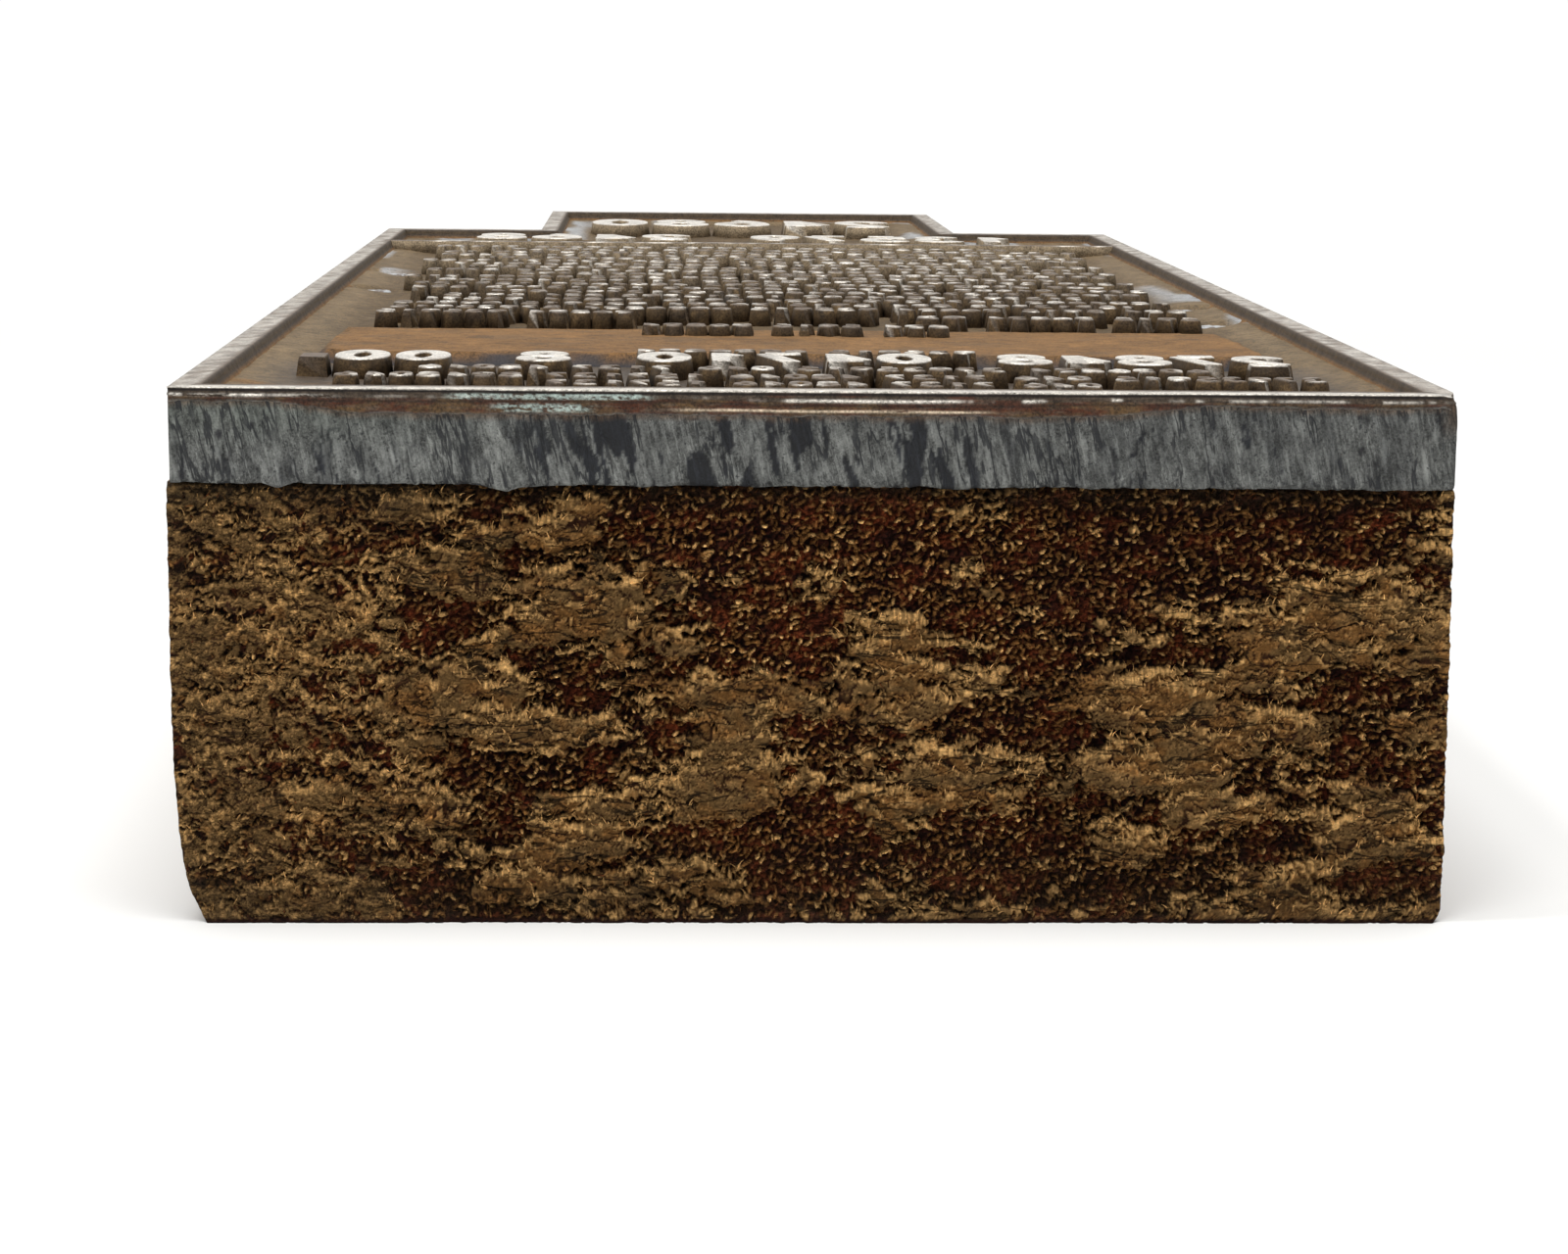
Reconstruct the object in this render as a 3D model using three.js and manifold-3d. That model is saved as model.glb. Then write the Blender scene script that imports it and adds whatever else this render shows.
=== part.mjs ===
// Letterpress printing block: a copper-faced plate backed with type metal, nailed to a wood mount.
// Millimetres. X runs across the block, Y from its front edge to its far edge, Z up from the press bed.
// The origin is the middle of the underside.

import * as THREE from "three";
import { mergeVertices } from "three/addons/utils/BufferGeometryUtils.js";
import Module from "manifold-3d";

const wasm = await Module();
wasm.setup();

// The block. Every block for one press stands as high as its type.
const typeHeight = 23.32;
const blockWidth = 54.83;
const blockLength = 139.2;
const leftWear = 1.4;
const rightWear = 0.7;

// The end grain of the wood, smeared over by the saw in places and torn out between them
const smearedDepth = 0.28;
const tornDepth = 0.8;
const grainWidth = 3.4;
const grainHeight = 1.7;
const patchWeight = 0.72;
const wholeShare = -0.25;
const tornShare = 0.35;
const hollowCore = 0.4;
const hollowReach = 1.4;

// The metal plate and its copper face
const plateThickness = 4.1;
const copperThickness = 0.35;
const capThickness = 0.45;
const typeDepth = 0.95;
const marginDepth = 0.6;
const routDepth = 2;

// The printed label: a frame rule with a tab at its far end
const tabWidth = 31.6;
const tabLength = 26.2;
const ruleWidth = 1.3;
const rimWidth = 0.8;
const wallFlare = 0.2;
const marginWidth = 3.4;
const headerLength = 14.4;
const crossRuleWidth = 0.7;

// The raised blank behind the front lines
const blankStart = 19.2;
const blankLength = 16.4;
const blankInset = 4.2;
const blankRadius = 3;
const blankNearDepth = 0.32;
const blankFarDepth = 0.62;

// Type. Small type stands as one bar to a word.
const textWidth = 45;
const smallHeight = 1.55;
const smallPitch = 2.85;
const letterWidth = 1.2;
const wordSpace = 0.9;
const shortestWord = 2.5;
const typeFlare = 0.16;
const textStart = 41.4;
const crossRuleSpace = 2;
const fewestLetters = 3;
const wordLengths = 6;
const lineStride = 5;
const wordStride = 7;
const figureShare = 0.91;
const strokeShare = 0.34;

// How finely round forms are stepped
const roundSides = 20;
const cornerSteps = 5;
const arcStepsPerTurn = 12;
const endColumns = 32;
const endRows = 20;

// Nails
const shankRadius = 0.55;
const headRadius = 1;
const headThickness = 0.4;
const headSink = 0.05;
const nailLength = 14;
const pointLength = 1.6;
const marginNailInset = 3.2;
const marginNailDepth = 1;
const shoulderNailInset = 5.6;

// Clearances, the film between copper and backing, and the overrun of every cut
const nailClearance = 0.12;
const rimClearance = 0.05;
const solderFilm = 0.05;
const overrun = 0.6;

// Places worked out from the sizes above
const halfWidth = blockWidth / 2;
const halfTab = tabWidth / 2;
const frontY = -blockLength / 2;
const farY = blockLength / 2;
const shoulderY = farY - tabLength;
const crossRuleY = shoulderY - headerLength;
const plateBase = typeHeight - plateThickness;
const rimTop = typeHeight - capThickness;
const typeFloor = typeHeight - typeDepth;
const marginFloor = typeHeight - marginDepth;
const sheetBase = typeFloor - copperThickness;
const pocketFloor = sheetBase - solderFilm;
const capBase = rimTop + solderFilm;
const routFloor = typeHeight - routDepth;
const markBase = typeFloor - copperThickness / 2;

// Lines of small type before the blank, and two short ones behind it: start from the front edge, letter
// height, left and right ends
const frontLineShares = [
  { start: 0.0165, height: 0.013, left: -0.24, right: 0.23 },
  { start: 0.0375, height: 0.013, left: -0.44, right: 0.42 },
  { start: 0.0635, height: 0.0115, left: -0.36, right: 0.335 },
  { start: 0.1235, height: 0.0085, left: -0.18, right: 0.155 },
  { start: 0.2773, height: 0.0111, left: -0.4175, right: -0.146 },
  { start: 0.2622, height: 0.0111, left: 0.128, right: 0.41 },
];
// The short line that stands on the blank, with the same shares
const blankLineShare = { start: 0.222, height: 0.011, left: -0.163, right: 0.153 };
// The square mark that ends the front row of figures, with the same shares
const endMarkShare = { start: 0.0955, height: 0.0125, left: -0.426, right: -0.4045 };
// Rows of large figures: start and height along the block, and their ends as shares of the text width
const figureRowShares = {
  front: { start: 0.0885, height: 0.0325, left: -0.4847, right: 0.5133 },
  header: { start: 0.735, height: 0.045, left: -0.45, right: 0.45 },
  tab: { start: 0.862, height: 0.06, left: -0.27, right: 0.27 },
};
const figureRows = {
  front: "27848 04710 8 00",
  header: "13579 2468",
  tab: "24680",
};
// Places of the nails along the label
const leftNailShares = [0.46, 0.56, 0.76];
const rightNailShares = [0.31, 0.385, 0.76];
const shoulderNailShares = [0.24, 0.74];
// Hollows torn out of the front end: middle, half width and half height, as shares of half the block's
// width and of the wood's height, and weight. A weight below zero marks wood that was smeared over.
const hollowShares = [
  { x: 0.401, z: 0.983, halfX: 0.693, halfZ: 0.239, weight: 0.75 },
  { x: -0.109, z: 0.885, halfX: 0.219, halfZ: 0.135, weight: 0.35 },
  { x: -0.584, z: 1.02, halfX: 0.438, halfZ: 0.047, weight: 0.6 },
  { x: 0.657, z: 0.364, halfX: 0.438, halfZ: 0.416, weight: -0.14 },
  { x: -0.875, z: 0.468, halfX: 0.255, halfZ: 0.624, weight: -0.1 },
  { x: -0.08, z: 0.598, halfX: 0.095, halfZ: 0.078, weight: 0.5 },
  { x: -0.036, z: 0.172, halfX: 0.124, halfZ: 0.12, weight: 0.8 },
  { x: -0.423, z: 0.822, halfX: 0.113, halfZ: 0.047, weight: 0.4 },
  { x: 0.861, z: 0.552, halfX: 0.047, halfZ: 0.031, weight: 1 },
  { x: -0.255, z: 0.385, halfX: 0.124, halfZ: 0.068, weight: 0.4 },
  { x: 0.131, z: 0.328, halfX: 0.08, halfZ: 0.068, weight: 0.4 },
  { x: 0.445, z: 0.437, halfX: 0.08, halfZ: 0.042, weight: 0.3 },
  { x: -0.419, z: 0.552, halfX: 0.226, halfZ: 0.099, weight: 0.25 },
  { x: 0.35, z: 0.114, halfX: 0.16, halfZ: 0.057, weight: 0.35 },
  { x: 0.715, z: 0.151, halfX: 0.088, halfZ: 0.047, weight: 0.3 },
  { x: -0.62, z: 0.156, halfX: 0.204, halfZ: 0.104, weight: 0.25 },
  { x: 0.007, z: 0.416, halfX: 0.095, halfZ: 0.073, weight: 0.4 },
  { x: 0.602, z: 0.614, halfX: 0.095, halfZ: 0.026, weight: 0.4 },
  { x: 0.201, z: 0.177, halfX: 0.139, halfZ: 0.073, weight: 0.35 },
];
// Where each small line starts and ends inside the text width, taken in turn
const indentShares = [
  [0, 1],
  [0.02, 0.95],
  [0.05, 1],
  [0, 0.9],
  [0.09, 0.98],
];

// The two ends' patterns of grain
const frontGrain = 11;
const farGrain = 14;

const wood = new THREE.MeshStandardMaterial({ color: 0x6b4a2b, roughness: 0.85, metalness: 0 });
const typeMetal = new THREE.MeshStandardMaterial({ color: 0x6f7378, roughness: 0.55, metalness: 0.7 });
const copper = new THREE.MeshStandardMaterial({ color: 0x9a7350, roughness: 0.4, metalness: 0.8 });
const steel = new THREE.MeshStandardMaterial({ color: 0x8f969c, roughness: 0.4, metalness: 0.8 });

// A closed geometry as a solid that can be joined and cut.
function solidOf(geometry) {
  const bare = geometry.clone();
  bare.deleteAttribute("normal");
  bare.deleteAttribute("uv");
  const merged = mergeVertices(bare);
  return new wasm.Manifold(
    new wasm.Mesh({
      numProp: 3,
      vertProperties: merged.attributes.position.array,
      triVerts: new Uint32Array(merged.index.array),
    }),
  );
}

// A solid as a named mesh.
function pieceOf(name, solid, material) {
  const { vertProperties, triVerts } = solid.getMesh();
  const indexed = new THREE.BufferGeometry();
  indexed.setAttribute("position", new THREE.BufferAttribute(vertProperties, 3));
  indexed.setIndex(new THREE.BufferAttribute(triVerts, 1));
  const geometry = indexed.toNonIndexed();
  geometry.computeVertexNormals();
  const mesh = new THREE.Mesh(geometry, material);
  mesh.name = name;
  return mesh;
}

// A solid through outlines of equal point count, each at its height, from the lowest up.
function loft(sections) {
  const turned = THREE.ShapeUtils.isClockWise(sections[0].outline);
  const outlines = sections.map(({ outline }) => (turned ? [...outline].reverse() : outline));
  const count = outlines[0].length;
  const positions = outlines.flatMap((outline, level) =>
    outline.flatMap((point) => [point.x, point.y, sections[level].z]),
  );
  const index = [];
  for (let level = 0; level + 1 < outlines.length; level += 1) {
    for (let i = 0; i < count; i += 1) {
      const a = level * count + i;
      const b = level * count + ((i + 1) % count);
      index.push(a, b, b + count, a, b + count, a + count);
    }
  }
  const last = (outlines.length - 1) * count;
  for (const [a, b, c] of THREE.ShapeUtils.triangulateShape(outlines[0], [])) {
    index.push(c, b, a);
  }
  for (const [a, b, c] of THREE.ShapeUtils.triangulateShape(outlines.at(-1), [])) {
    index.push(last + a, last + b, last + c);
  }
  const geometry = new THREE.BufferGeometry();
  geometry.setAttribute("position", new THREE.Float32BufferAttribute(positions, 3));
  geometry.setIndex(index);
  return solidOf(geometry);
}

// The label's outline, drawn in by an inset on every side.
function labelOutline(inset) {
  const x = halfWidth - inset;
  const tabX = halfTab - inset;
  const near = frontY + inset;
  const shoulder = shoulderY - inset;
  const far = farY - inset;
  return [
    new THREE.Vector2(-x, near),
    new THREE.Vector2(x, near),
    new THREE.Vector2(x, shoulder),
    new THREE.Vector2(tabX, shoulder),
    new THREE.Vector2(tabX, far),
    new THREE.Vector2(-tabX, far),
    new THREE.Vector2(-tabX, shoulder),
    new THREE.Vector2(-x, shoulder),
  ];
}

// A straight-sided block on the label's outline.
function labelPrism(inset, low, high) {
  const outline = labelOutline(inset);
  return loft([
    { outline, z: low },
    { outline, z: high },
  ]);
}

// A box between two corners of its plan.
function boxBetween(left, right, near, far, low, high) {
  const geometry = new THREE.BoxGeometry(right - left, far - near, high - low);
  geometry.translate((left + right) / 2, (near + far) / 2, (low + high) / 2);
  return solidOf(geometry);
}

// A raised mark: its outline at type height, wider by the flare at its foot.
function raisedBar(left, right, near, far) {
  const corners = (grow) => [
    new THREE.Vector2(left - grow, near - grow),
    new THREE.Vector2(right + grow, near - grow),
    new THREE.Vector2(right + grow, far + grow),
    new THREE.Vector2(left - grow, far + grow),
  ];
  return loft([
    { outline: corners(typeFlare), z: markBase },
    { outline: corners(0), z: typeHeight },
  ]);
}

// Points on an oval arc in a figure's unit cell, by turns from the right, anticlockwise.
function arc(x, y, radiusX, radiusY, from, to) {
  const steps = Math.max(2, Math.round(Math.abs(to - from) * arcStepsPerTurn));
  return Array.from({ length: steps + 1 }, (_, i) => {
    const angle = 2 * Math.PI * (from + ((to - from) * i) / steps);
    return [x + radiusX * Math.cos(angle), y + radiusY * Math.sin(angle)];
  });
}

// The middle lines of each figure's strokes, in a unit cell with its origin at the foot
const lowBowlShares = arc(0.5, 0.3, 0.5, 0.3, 0, 1);
const stemShares = arc(0.72, 0.3, 0.72, 0.7, 0.5, 0.26);
const turnedShares = (stroke) => stroke.map(([x, y]) => [1 - x, 1 - y]);
const figureStrokeShares = {
  0: [arc(0.5, 0.5, 0.5, 0.5, 0, 1)],
  1: [[[0.6, 0], [0.6, 1]], [[0.15, 0.7], [0.6, 0.98]]],
  2: [[...arc(0.5, 0.69, 0.5, 0.31, 0.46, -0.08), [0.05, 0]], [[0, 0], [1, 0]]],
  3: [arc(0.46, 0.76, 0.46, 0.24, 0.42, -0.25), arc(0.46, 0.26, 0.54, 0.26, 0.25, -0.42)],
  4: [[[0.72, 0], [0.72, 1]], [[0.72, 1], [0, 0.28]], [[0, 0.28], [1, 0.28]]],
  5: [[[0.12, 1], [0.92, 1]], [[0.12, 1], [0.08, 0.5]], arc(0.46, 0.31, 0.54, 0.31, 0.36, -0.42)],
  6: [lowBowlShares, stemShares],
  7: [[[0, 1], [1, 1]], [[1, 1], [0.34, 0]]],
  8: [arc(0.5, 0.76, 0.42, 0.24, 0, 1), arc(0.5, 0.26, 0.5, 0.26, 0, 1)],
  9: [turnedShares(lowBowlShares), turnedShares(stemShares)],
};

// A stroke's band at a given half width round its middle line.
function bandOutline(path, half) {
  const sides = path.map((point, i) => {
    const before = path[Math.max(i - 1, 0)];
    const after = path[Math.min(i + 1, path.length - 1)];
    const along = after.clone().sub(before).normalize();
    return new THREE.Vector2(-along.y, along.x).multiplyScalar(half);
  });
  const left = path.map((point, i) => point.clone().add(sides[i]));
  const right = path.map((point, i) => point.clone().sub(sides[i]));
  return [...left, ...right.reverse()];
}

// One stroke with sloping walls. A closed stroke is the outside of its ring less the inside.
function strokeSolid(path, half) {
  const closed = path[0].distanceTo(path.at(-1)) < half / 10;
  if (!closed) {
    return loft([
      { outline: bandOutline(path, half + typeFlare), z: markBase },
      { outline: bandOutline(path, half), z: typeHeight },
    ]);
  }
  const centre = path[0].clone().add(path[Math.floor(path.length / 2)]).multiplyScalar(1 / 2);
  const ring = (grow) =>
    path.slice(1).map((point) => {
      const outward = point.clone().sub(centre);
      return point.clone().add(outward.setLength(grow));
    });
  const outside = loft([
    { outline: ring(half + typeFlare), z: markBase },
    { outline: ring(half), z: typeHeight },
  ]);
  const slope = (2 * typeFlare) / (typeHeight - markBase);
  const inside = loft([
    { outline: ring(-half - slope * overrun), z: typeFloor - copperThickness },
    { outline: ring(-half + slope * overrun), z: typeHeight + overrun },
  ]);
  return outside.subtract(inside);
}

// One figure in its cell. It is reversed left to right, as it has to be to print the right way round.
function figureSolids(figure, left, near, width, height) {
  const half = (width * strokeShare) / 2;
  return figureStrokeShares[figure].map((stroke) => {
    const path = stroke.map(([x, y]) => {
      const across = left + half + (1 - x) * (width - 2 * half);
      const along = near + half + y * (height - 2 * half);
      return new THREE.Vector2(across, along);
    });
    return strokeSolid(path, half);
  });
}

// A row of figures, set from right to left.
function figureRow(figures, share) {
  const pitch = ((share.right - share.left) * textWidth) / figures.length;
  const width = pitch * figureShare;
  const near = frontY + share.start * blockLength;
  return [...figures].flatMap((figure, i) => {
    const left = share.right * textWidth - (i + 1) * pitch;
    return figure === " " ? [] : figureSolids(figure, left, near, width, share.height * blockLength);
  });
}

// The words of one small line as bars, set from right to left. Their lengths follow the line's number.
function wordBars(line, left, right, near, height) {
  const bars = [];
  let x = right;
  for (let word = 0; x - left > shortestWord; word += 1) {
    const letters = fewestLetters + ((line * lineStride + word * wordStride) % wordLengths);
    const end = Math.max(x - letters * letterWidth, left);
    bars.push(raisedBar(end, x, near, near + height));
    x = end - wordSpace;
  }
  return bars;
}

function frontLines() {
  return [...frontLineShares, blankLineShare].flatMap((share, line) => {
    const near = frontY + share.start * blockLength;
    const height = share.height * blockLength;
    return wordBars(line, share.left * blockWidth, share.right * blockWidth, near, height);
  });
}

function endMark() {
  const near = frontY + endMarkShare.start * blockLength;
  const far = near + endMarkShare.height * blockLength;
  return raisedBar(endMarkShare.left * blockWidth, endMarkShare.right * blockWidth, near, far);
}

// The full lines of small type between the blank and the cross rule
function textLines() {
  const start = frontY + textStart;
  const count = Math.floor((crossRuleY - start - crossRuleSpace) / smallPitch);
  return Array.from({ length: count }, (_, line) => {
    const near = start + line * smallPitch;
    const [from, to] = indentShares[line % indentShares.length];
    const left = (from - 1 / 2) * textWidth;
    const right = (to - 1 / 2) * textWidth;
    return wordBars(line + frontLineShares.length, left, right, near, smallHeight);
  }).flat();
}

// The blank area behind the front lines: a low pad with round corners that falls away to the far side.
function raisedBlank() {
  const near = frontY + blankStart;
  const x = halfWidth - blankInset;
  const pad = new THREE.Shape();
  pad.moveTo(-x, blankRadius);
  pad.absarc(blankRadius - x, blankRadius, blankRadius, -Math.PI, -Math.PI / 2, false);
  pad.absarc(x - blankRadius, blankRadius, blankRadius, -Math.PI / 2, 0, false);
  pad.lineTo(x, blankLength);
  pad.lineTo(-x, blankLength);
  const outline = pad.getPoints(cornerSteps).map((point) => new THREE.Vector2(point.x, point.y + near));
  const block = loft([
    { outline, z: markBase },
    { outline, z: typeHeight },
  ]);
  const slope = new THREE.Shape();
  slope.moveTo(near - overrun, typeHeight - blankNearDepth);
  slope.lineTo(near + blankLength + overrun, typeHeight - blankFarDepth);
  slope.lineTo(near + blankLength + overrun, typeHeight + overrun);
  slope.lineTo(near - overrun, typeHeight + overrun);
  const cut = new THREE.ExtrudeGeometry(slope, { depth: blockWidth, bevelEnabled: false });
  // The profile is drawn in Y and Z, and the sweep runs along X.
  cut.applyMatrix4(new THREE.Matrix4().set(0, 0, 1, -halfWidth, 1, 0, 0, 0, 0, 1, 0, 0, 0, 0, 0, 1));
  return block.subtract(solidOf(cut));
}

// Each nail's place and the height of its head.
function nailPlaces() {
  const marginX = halfWidth - marginNailInset;
  const marginTop = typeHeight - marginNailDepth;
  const margin = (side, shares) =>
    shares.map((share) => ({ x: side * marginX, y: frontY + share * blockLength, top: marginTop }));
  const shoulder = (side) =>
    shoulderNailShares.map((share) => ({
      x: side * (halfWidth - shoulderNailInset),
      y: shoulderY + share * tabLength,
      top: routFloor - headSink,
    }));
  return [...margin(-1, leftNailShares), ...margin(1, rightNailShares), ...shoulder(-1), ...shoulder(1)];
}

// An upright hole with its top and bottom given.
function holeSolid(place, radius, low, high) {
  const geometry = new THREE.CylinderGeometry(radius, radius, high - low, roundSides);
  geometry.rotateX(Math.PI / 2);
  geometry.translate(place.x, place.y, (low + high) / 2);
  return solidOf(geometry);
}

function headHole(place) {
  return holeSolid(place, headRadius + nailClearance, place.top - headThickness, typeHeight + overrun);
}

function shankHole(place) {
  const point = place.top - nailLength - nailClearance;
  return holeSolid(place, shankRadius + nailClearance, point, typeHeight + overrun);
}

// A fixed random number from 0 to 1 for each whole-number cell.
function lattice(i, j, seed) {
  const [across, along, turn, stir] = [374761393, 668265263, 974634777, 1274126177];
  const [firstShift, lastShift, largest] = [13, 16, 0xffffffff];
  const mixed = Math.imul(i, across) + Math.imul(j, along) + Math.imul(seed, turn);
  const stirred = Math.imul(mixed ^ (mixed >>> firstShift), stir);
  return ((stirred ^ (stirred >>> lastShift)) >>> 0) / largest;
}

// The cells' numbers, blended smoothly between their corners, from -1 to 1.
function noise(u, v, seed) {
  const [i, j] = [Math.floor(u), Math.floor(v)];
  const [across, along] = [u - i, v - j].map((share) => THREE.MathUtils.smoothstep(share, 0, 1));
  const row = (k) => THREE.MathUtils.lerp(lattice(i, k, seed), lattice(i + 1, k, seed), across);
  return 2 * THREE.MathUtils.lerp(row(j), row(j + 1), along) - 1;
}

// How far the end grain lies behind the block's end. The hollows deepen it where they weigh most.
function grainDepth(x, z, seed, hollows) {
  const weights = hollows.map((hollow) => {
    const across = (x / halfWidth - hollow.x) / hollow.halfX;
    const up = (z / plateBase - hollow.z) / hollow.halfZ;
    const reach = Math.hypot(across, up);
    return hollow.weight * (1 - THREE.MathUtils.smoothstep(reach, hollowCore, hollowReach));
  });
  const weight = weights.reduce((sum, share) => sum + share, 0);
  const torn = weight - patchWeight * noise(x / grainWidth, z / grainHeight, seed);
  const share = THREE.MathUtils.smoothstep(torn, wholeShare, tornShare);
  return THREE.MathUtils.lerp(smearedDepth, tornDepth, share);
}

// What is torn away at the board's front end: a slab whose inner side follows the grain. Turned half
// round, it serves the far end.
function tornSlab(seed, hollows) {
  const width = blockWidth + 2 * overrun;
  const height = plateBase + 2 * overrun;
  const geometry = new THREE.BoxGeometry(width, 2 * overrun, height, endColumns, 1, endRows);
  geometry.translate(0, frontY, plateBase / 2);
  const places = geometry.attributes.position;
  for (let i = 0; i < places.count; i += 1) {
    if (places.getY(i) > frontY) {
      places.setY(i, frontY + grainDepth(places.getX(i), places.getZ(i), seed, hollows));
    }
  }
  return solidOf(geometry);
}

// The wood mount: a planed board whose lower long edges are worn round, with torn ends.
function woodMount(places) {
  const board = new THREE.Shape();
  board.moveTo(leftWear - halfWidth, 0);
  board.absarc(halfWidth - rightWear, rightWear, rightWear, -Math.PI / 2, 0, false);
  board.lineTo(halfWidth, plateBase);
  board.lineTo(-halfWidth, plateBase);
  board.absarc(leftWear - halfWidth, leftWear, leftWear, -Math.PI, -Math.PI / 2, false);
  const settings = { depth: blockLength, bevelEnabled: false, curveSegments: cornerSteps };
  const geometry = new THREE.ExtrudeGeometry(board, settings);
  geometry.rotateX(Math.PI / 2);
  geometry.translate(0, farY, 0);
  const cuts = [
    tornSlab(frontGrain, hollowShares),
    tornSlab(farGrain, []).rotate([0, 0, 180]),
    ...places.map((place) => shankHole(place)),
  ];
  const mount = cuts.reduce((solid, cut) => solid.subtract(cut), solidOf(geometry));
  return pieceOf("wood_mount", mount, wood);
}

// The type metal: it fills the frame rule from behind as a rim, and is routed away beside the tab.
function backingPlate(places) {
  const slab = boxBetween(-halfWidth, halfWidth, frontY, farY, plateBase, rimTop);
  const pocket = labelPrism(rimWidth, pocketFloor, typeHeight);
  const shoulders = [-1, 1].map((side) =>
    boxBetween(
      Math.min(side * halfTab, side * (halfWidth + overrun)),
      Math.max(side * halfTab, side * (halfWidth + overrun)),
      shoulderY,
      farY + overrun,
      routFloor,
      typeHeight,
    ),
  );
  const holes = places.flatMap((place) => [headHole(place), shankHole(place)]);
  const plate = [pocket, ...shoulders, ...holes].reduce((solid, cut) => solid.subtract(cut), slab);
  return pieceOf("backing_plate", plate, typeMetal);
}

// The copper skin without its type: a dished sheet whose edge is the frame rule, hollow over the rim.
function copperSheet() {
  const block = labelPrism(0, sheetBase, typeHeight);
  const hollow = labelPrism(-overrun, sheetBase - overrun, capBase).subtract(
    labelPrism(rimWidth + rimClearance, sheetBase - overrun, typeHeight),
  );
  const dish = loft([
    { outline: labelOutline(ruleWidth + wallFlare + marginWidth), z: typeFloor },
    { outline: labelOutline(ruleWidth + wallFlare), z: marginFloor },
    { outline: labelOutline(ruleWidth), z: typeHeight },
    { outline: labelOutline(ruleWidth), z: typeHeight + overrun },
  ]);
  return block.subtract(hollow).subtract(dish);
}

// The copper face with everything that prints.
function copperShell(places) {
  const crossRule = raisedBar(
    ruleWidth - halfWidth,
    halfWidth - ruleWidth,
    crossRuleY,
    crossRuleY + crossRuleWidth,
  );
  const figures = Object.entries(figureRows).flatMap(([row, text]) => figureRow(text, figureRowShares[row]));
  const marks = [crossRule, raisedBlank(), endMark(), ...frontLines(), ...textLines(), ...figures];
  const printed = marks.reduce((solid, mark) => solid.add(mark), copperSheet());
  const pierced = places.reduce((solid, place) => solid.subtract(headHole(place)), printed);
  return pieceOf("copper_shell", pierced, copper);
}

// A flat-headed nail, with its head's top at the origin.
function nailMesh(name, place) {
  const profile = [
    new THREE.Vector2(0, -nailLength),
    new THREE.Vector2(shankRadius, pointLength - nailLength),
    new THREE.Vector2(shankRadius, -headThickness),
    new THREE.Vector2(headRadius, -headThickness),
    new THREE.Vector2(headRadius, 0),
    new THREE.Vector2(0, 0),
  ];
  const geometry = new THREE.LatheGeometry(profile, roundSides);
  geometry.rotateX(Math.PI / 2);
  const mesh = new THREE.Mesh(geometry, steel);
  mesh.name = name;
  mesh.position.set(place.x, place.y, place.top);
  return mesh;
}

function printingBlock() {
  const places = nailPlaces();
  const block = new THREE.Group();
  block.add(woodMount(places), backingPlate(places), copperShell(places));
  places.forEach((place, i) => block.add(nailMesh(`nail_${i + 1}`, place)));
  return block;
}

export default printingBlock();
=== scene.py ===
"""Finished surfaces of a wood-mounted printing block.

The block is a board of hardwood with rough sawn ends, a cast metal plate nailed on it, and a copper
face that carries a frame rule, rows of figures and lines of small type. Lengths in the working
functions are millimetres, and every mesh is turned into metres when it is made.
"""

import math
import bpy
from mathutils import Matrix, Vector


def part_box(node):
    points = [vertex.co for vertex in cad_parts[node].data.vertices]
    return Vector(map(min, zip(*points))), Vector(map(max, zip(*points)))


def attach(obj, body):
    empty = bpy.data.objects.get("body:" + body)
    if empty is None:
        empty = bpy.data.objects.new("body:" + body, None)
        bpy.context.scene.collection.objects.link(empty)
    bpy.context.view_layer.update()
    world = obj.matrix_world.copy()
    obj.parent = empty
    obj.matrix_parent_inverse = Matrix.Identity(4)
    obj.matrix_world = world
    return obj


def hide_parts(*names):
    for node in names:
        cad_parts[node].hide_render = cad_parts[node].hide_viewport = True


bl_info = {
    "name": "Printing block",
    "version": (1, 0, 0),
    "blender": (4, 5, 0),
    "location": "3D View > Sidebar > Printing block",
    "description": "Makes the wood, the metal and the copper face of a printing block",
    "category": "Object",
}

from types import SimpleNamespace

import bpy
import numpy as np
from bpy.props import FloatProperty, FloatVectorProperty, IntProperty, PointerProperty
from mathutils import Matrix, Vector

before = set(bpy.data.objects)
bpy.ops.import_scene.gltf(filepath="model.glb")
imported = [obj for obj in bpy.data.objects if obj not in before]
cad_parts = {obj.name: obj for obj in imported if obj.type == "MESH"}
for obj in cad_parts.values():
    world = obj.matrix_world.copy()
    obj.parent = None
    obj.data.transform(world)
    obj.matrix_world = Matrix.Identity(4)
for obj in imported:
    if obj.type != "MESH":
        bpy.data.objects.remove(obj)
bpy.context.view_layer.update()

MM = 0.001

# The block's outer sizes and the levels of its layers, read from the loaded model
HALF_WIDTH, FAR, RIM_TOP = (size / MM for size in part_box("backing_plate")[1])
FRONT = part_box("backing_plate")[0][1] / MM
LENGTH = FAR - FRONT
WOOD_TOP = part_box("wood_mount")[1][2] / MM
TYPE_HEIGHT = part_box("copper_shell")[1][2] / MM

# The cast metal: the lean of its saw marks, sideways for each millimetre down, the rim round the
# copper's pocket, and the points up its walls and their spacing on each side, from the front round
LEAN = 0.21
PLATE_RIM = 1.0
WALL_ROWS = 38
SHOULDER_ROWS = 20
PLATE_STEPS = (0.11, 0.4, 0.3, 0.3, 0.3, 0.3, 0.3, 0.4)
SHOULDER_STEPS = (0.4, 0.4, 0.4, 0.4)

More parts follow.
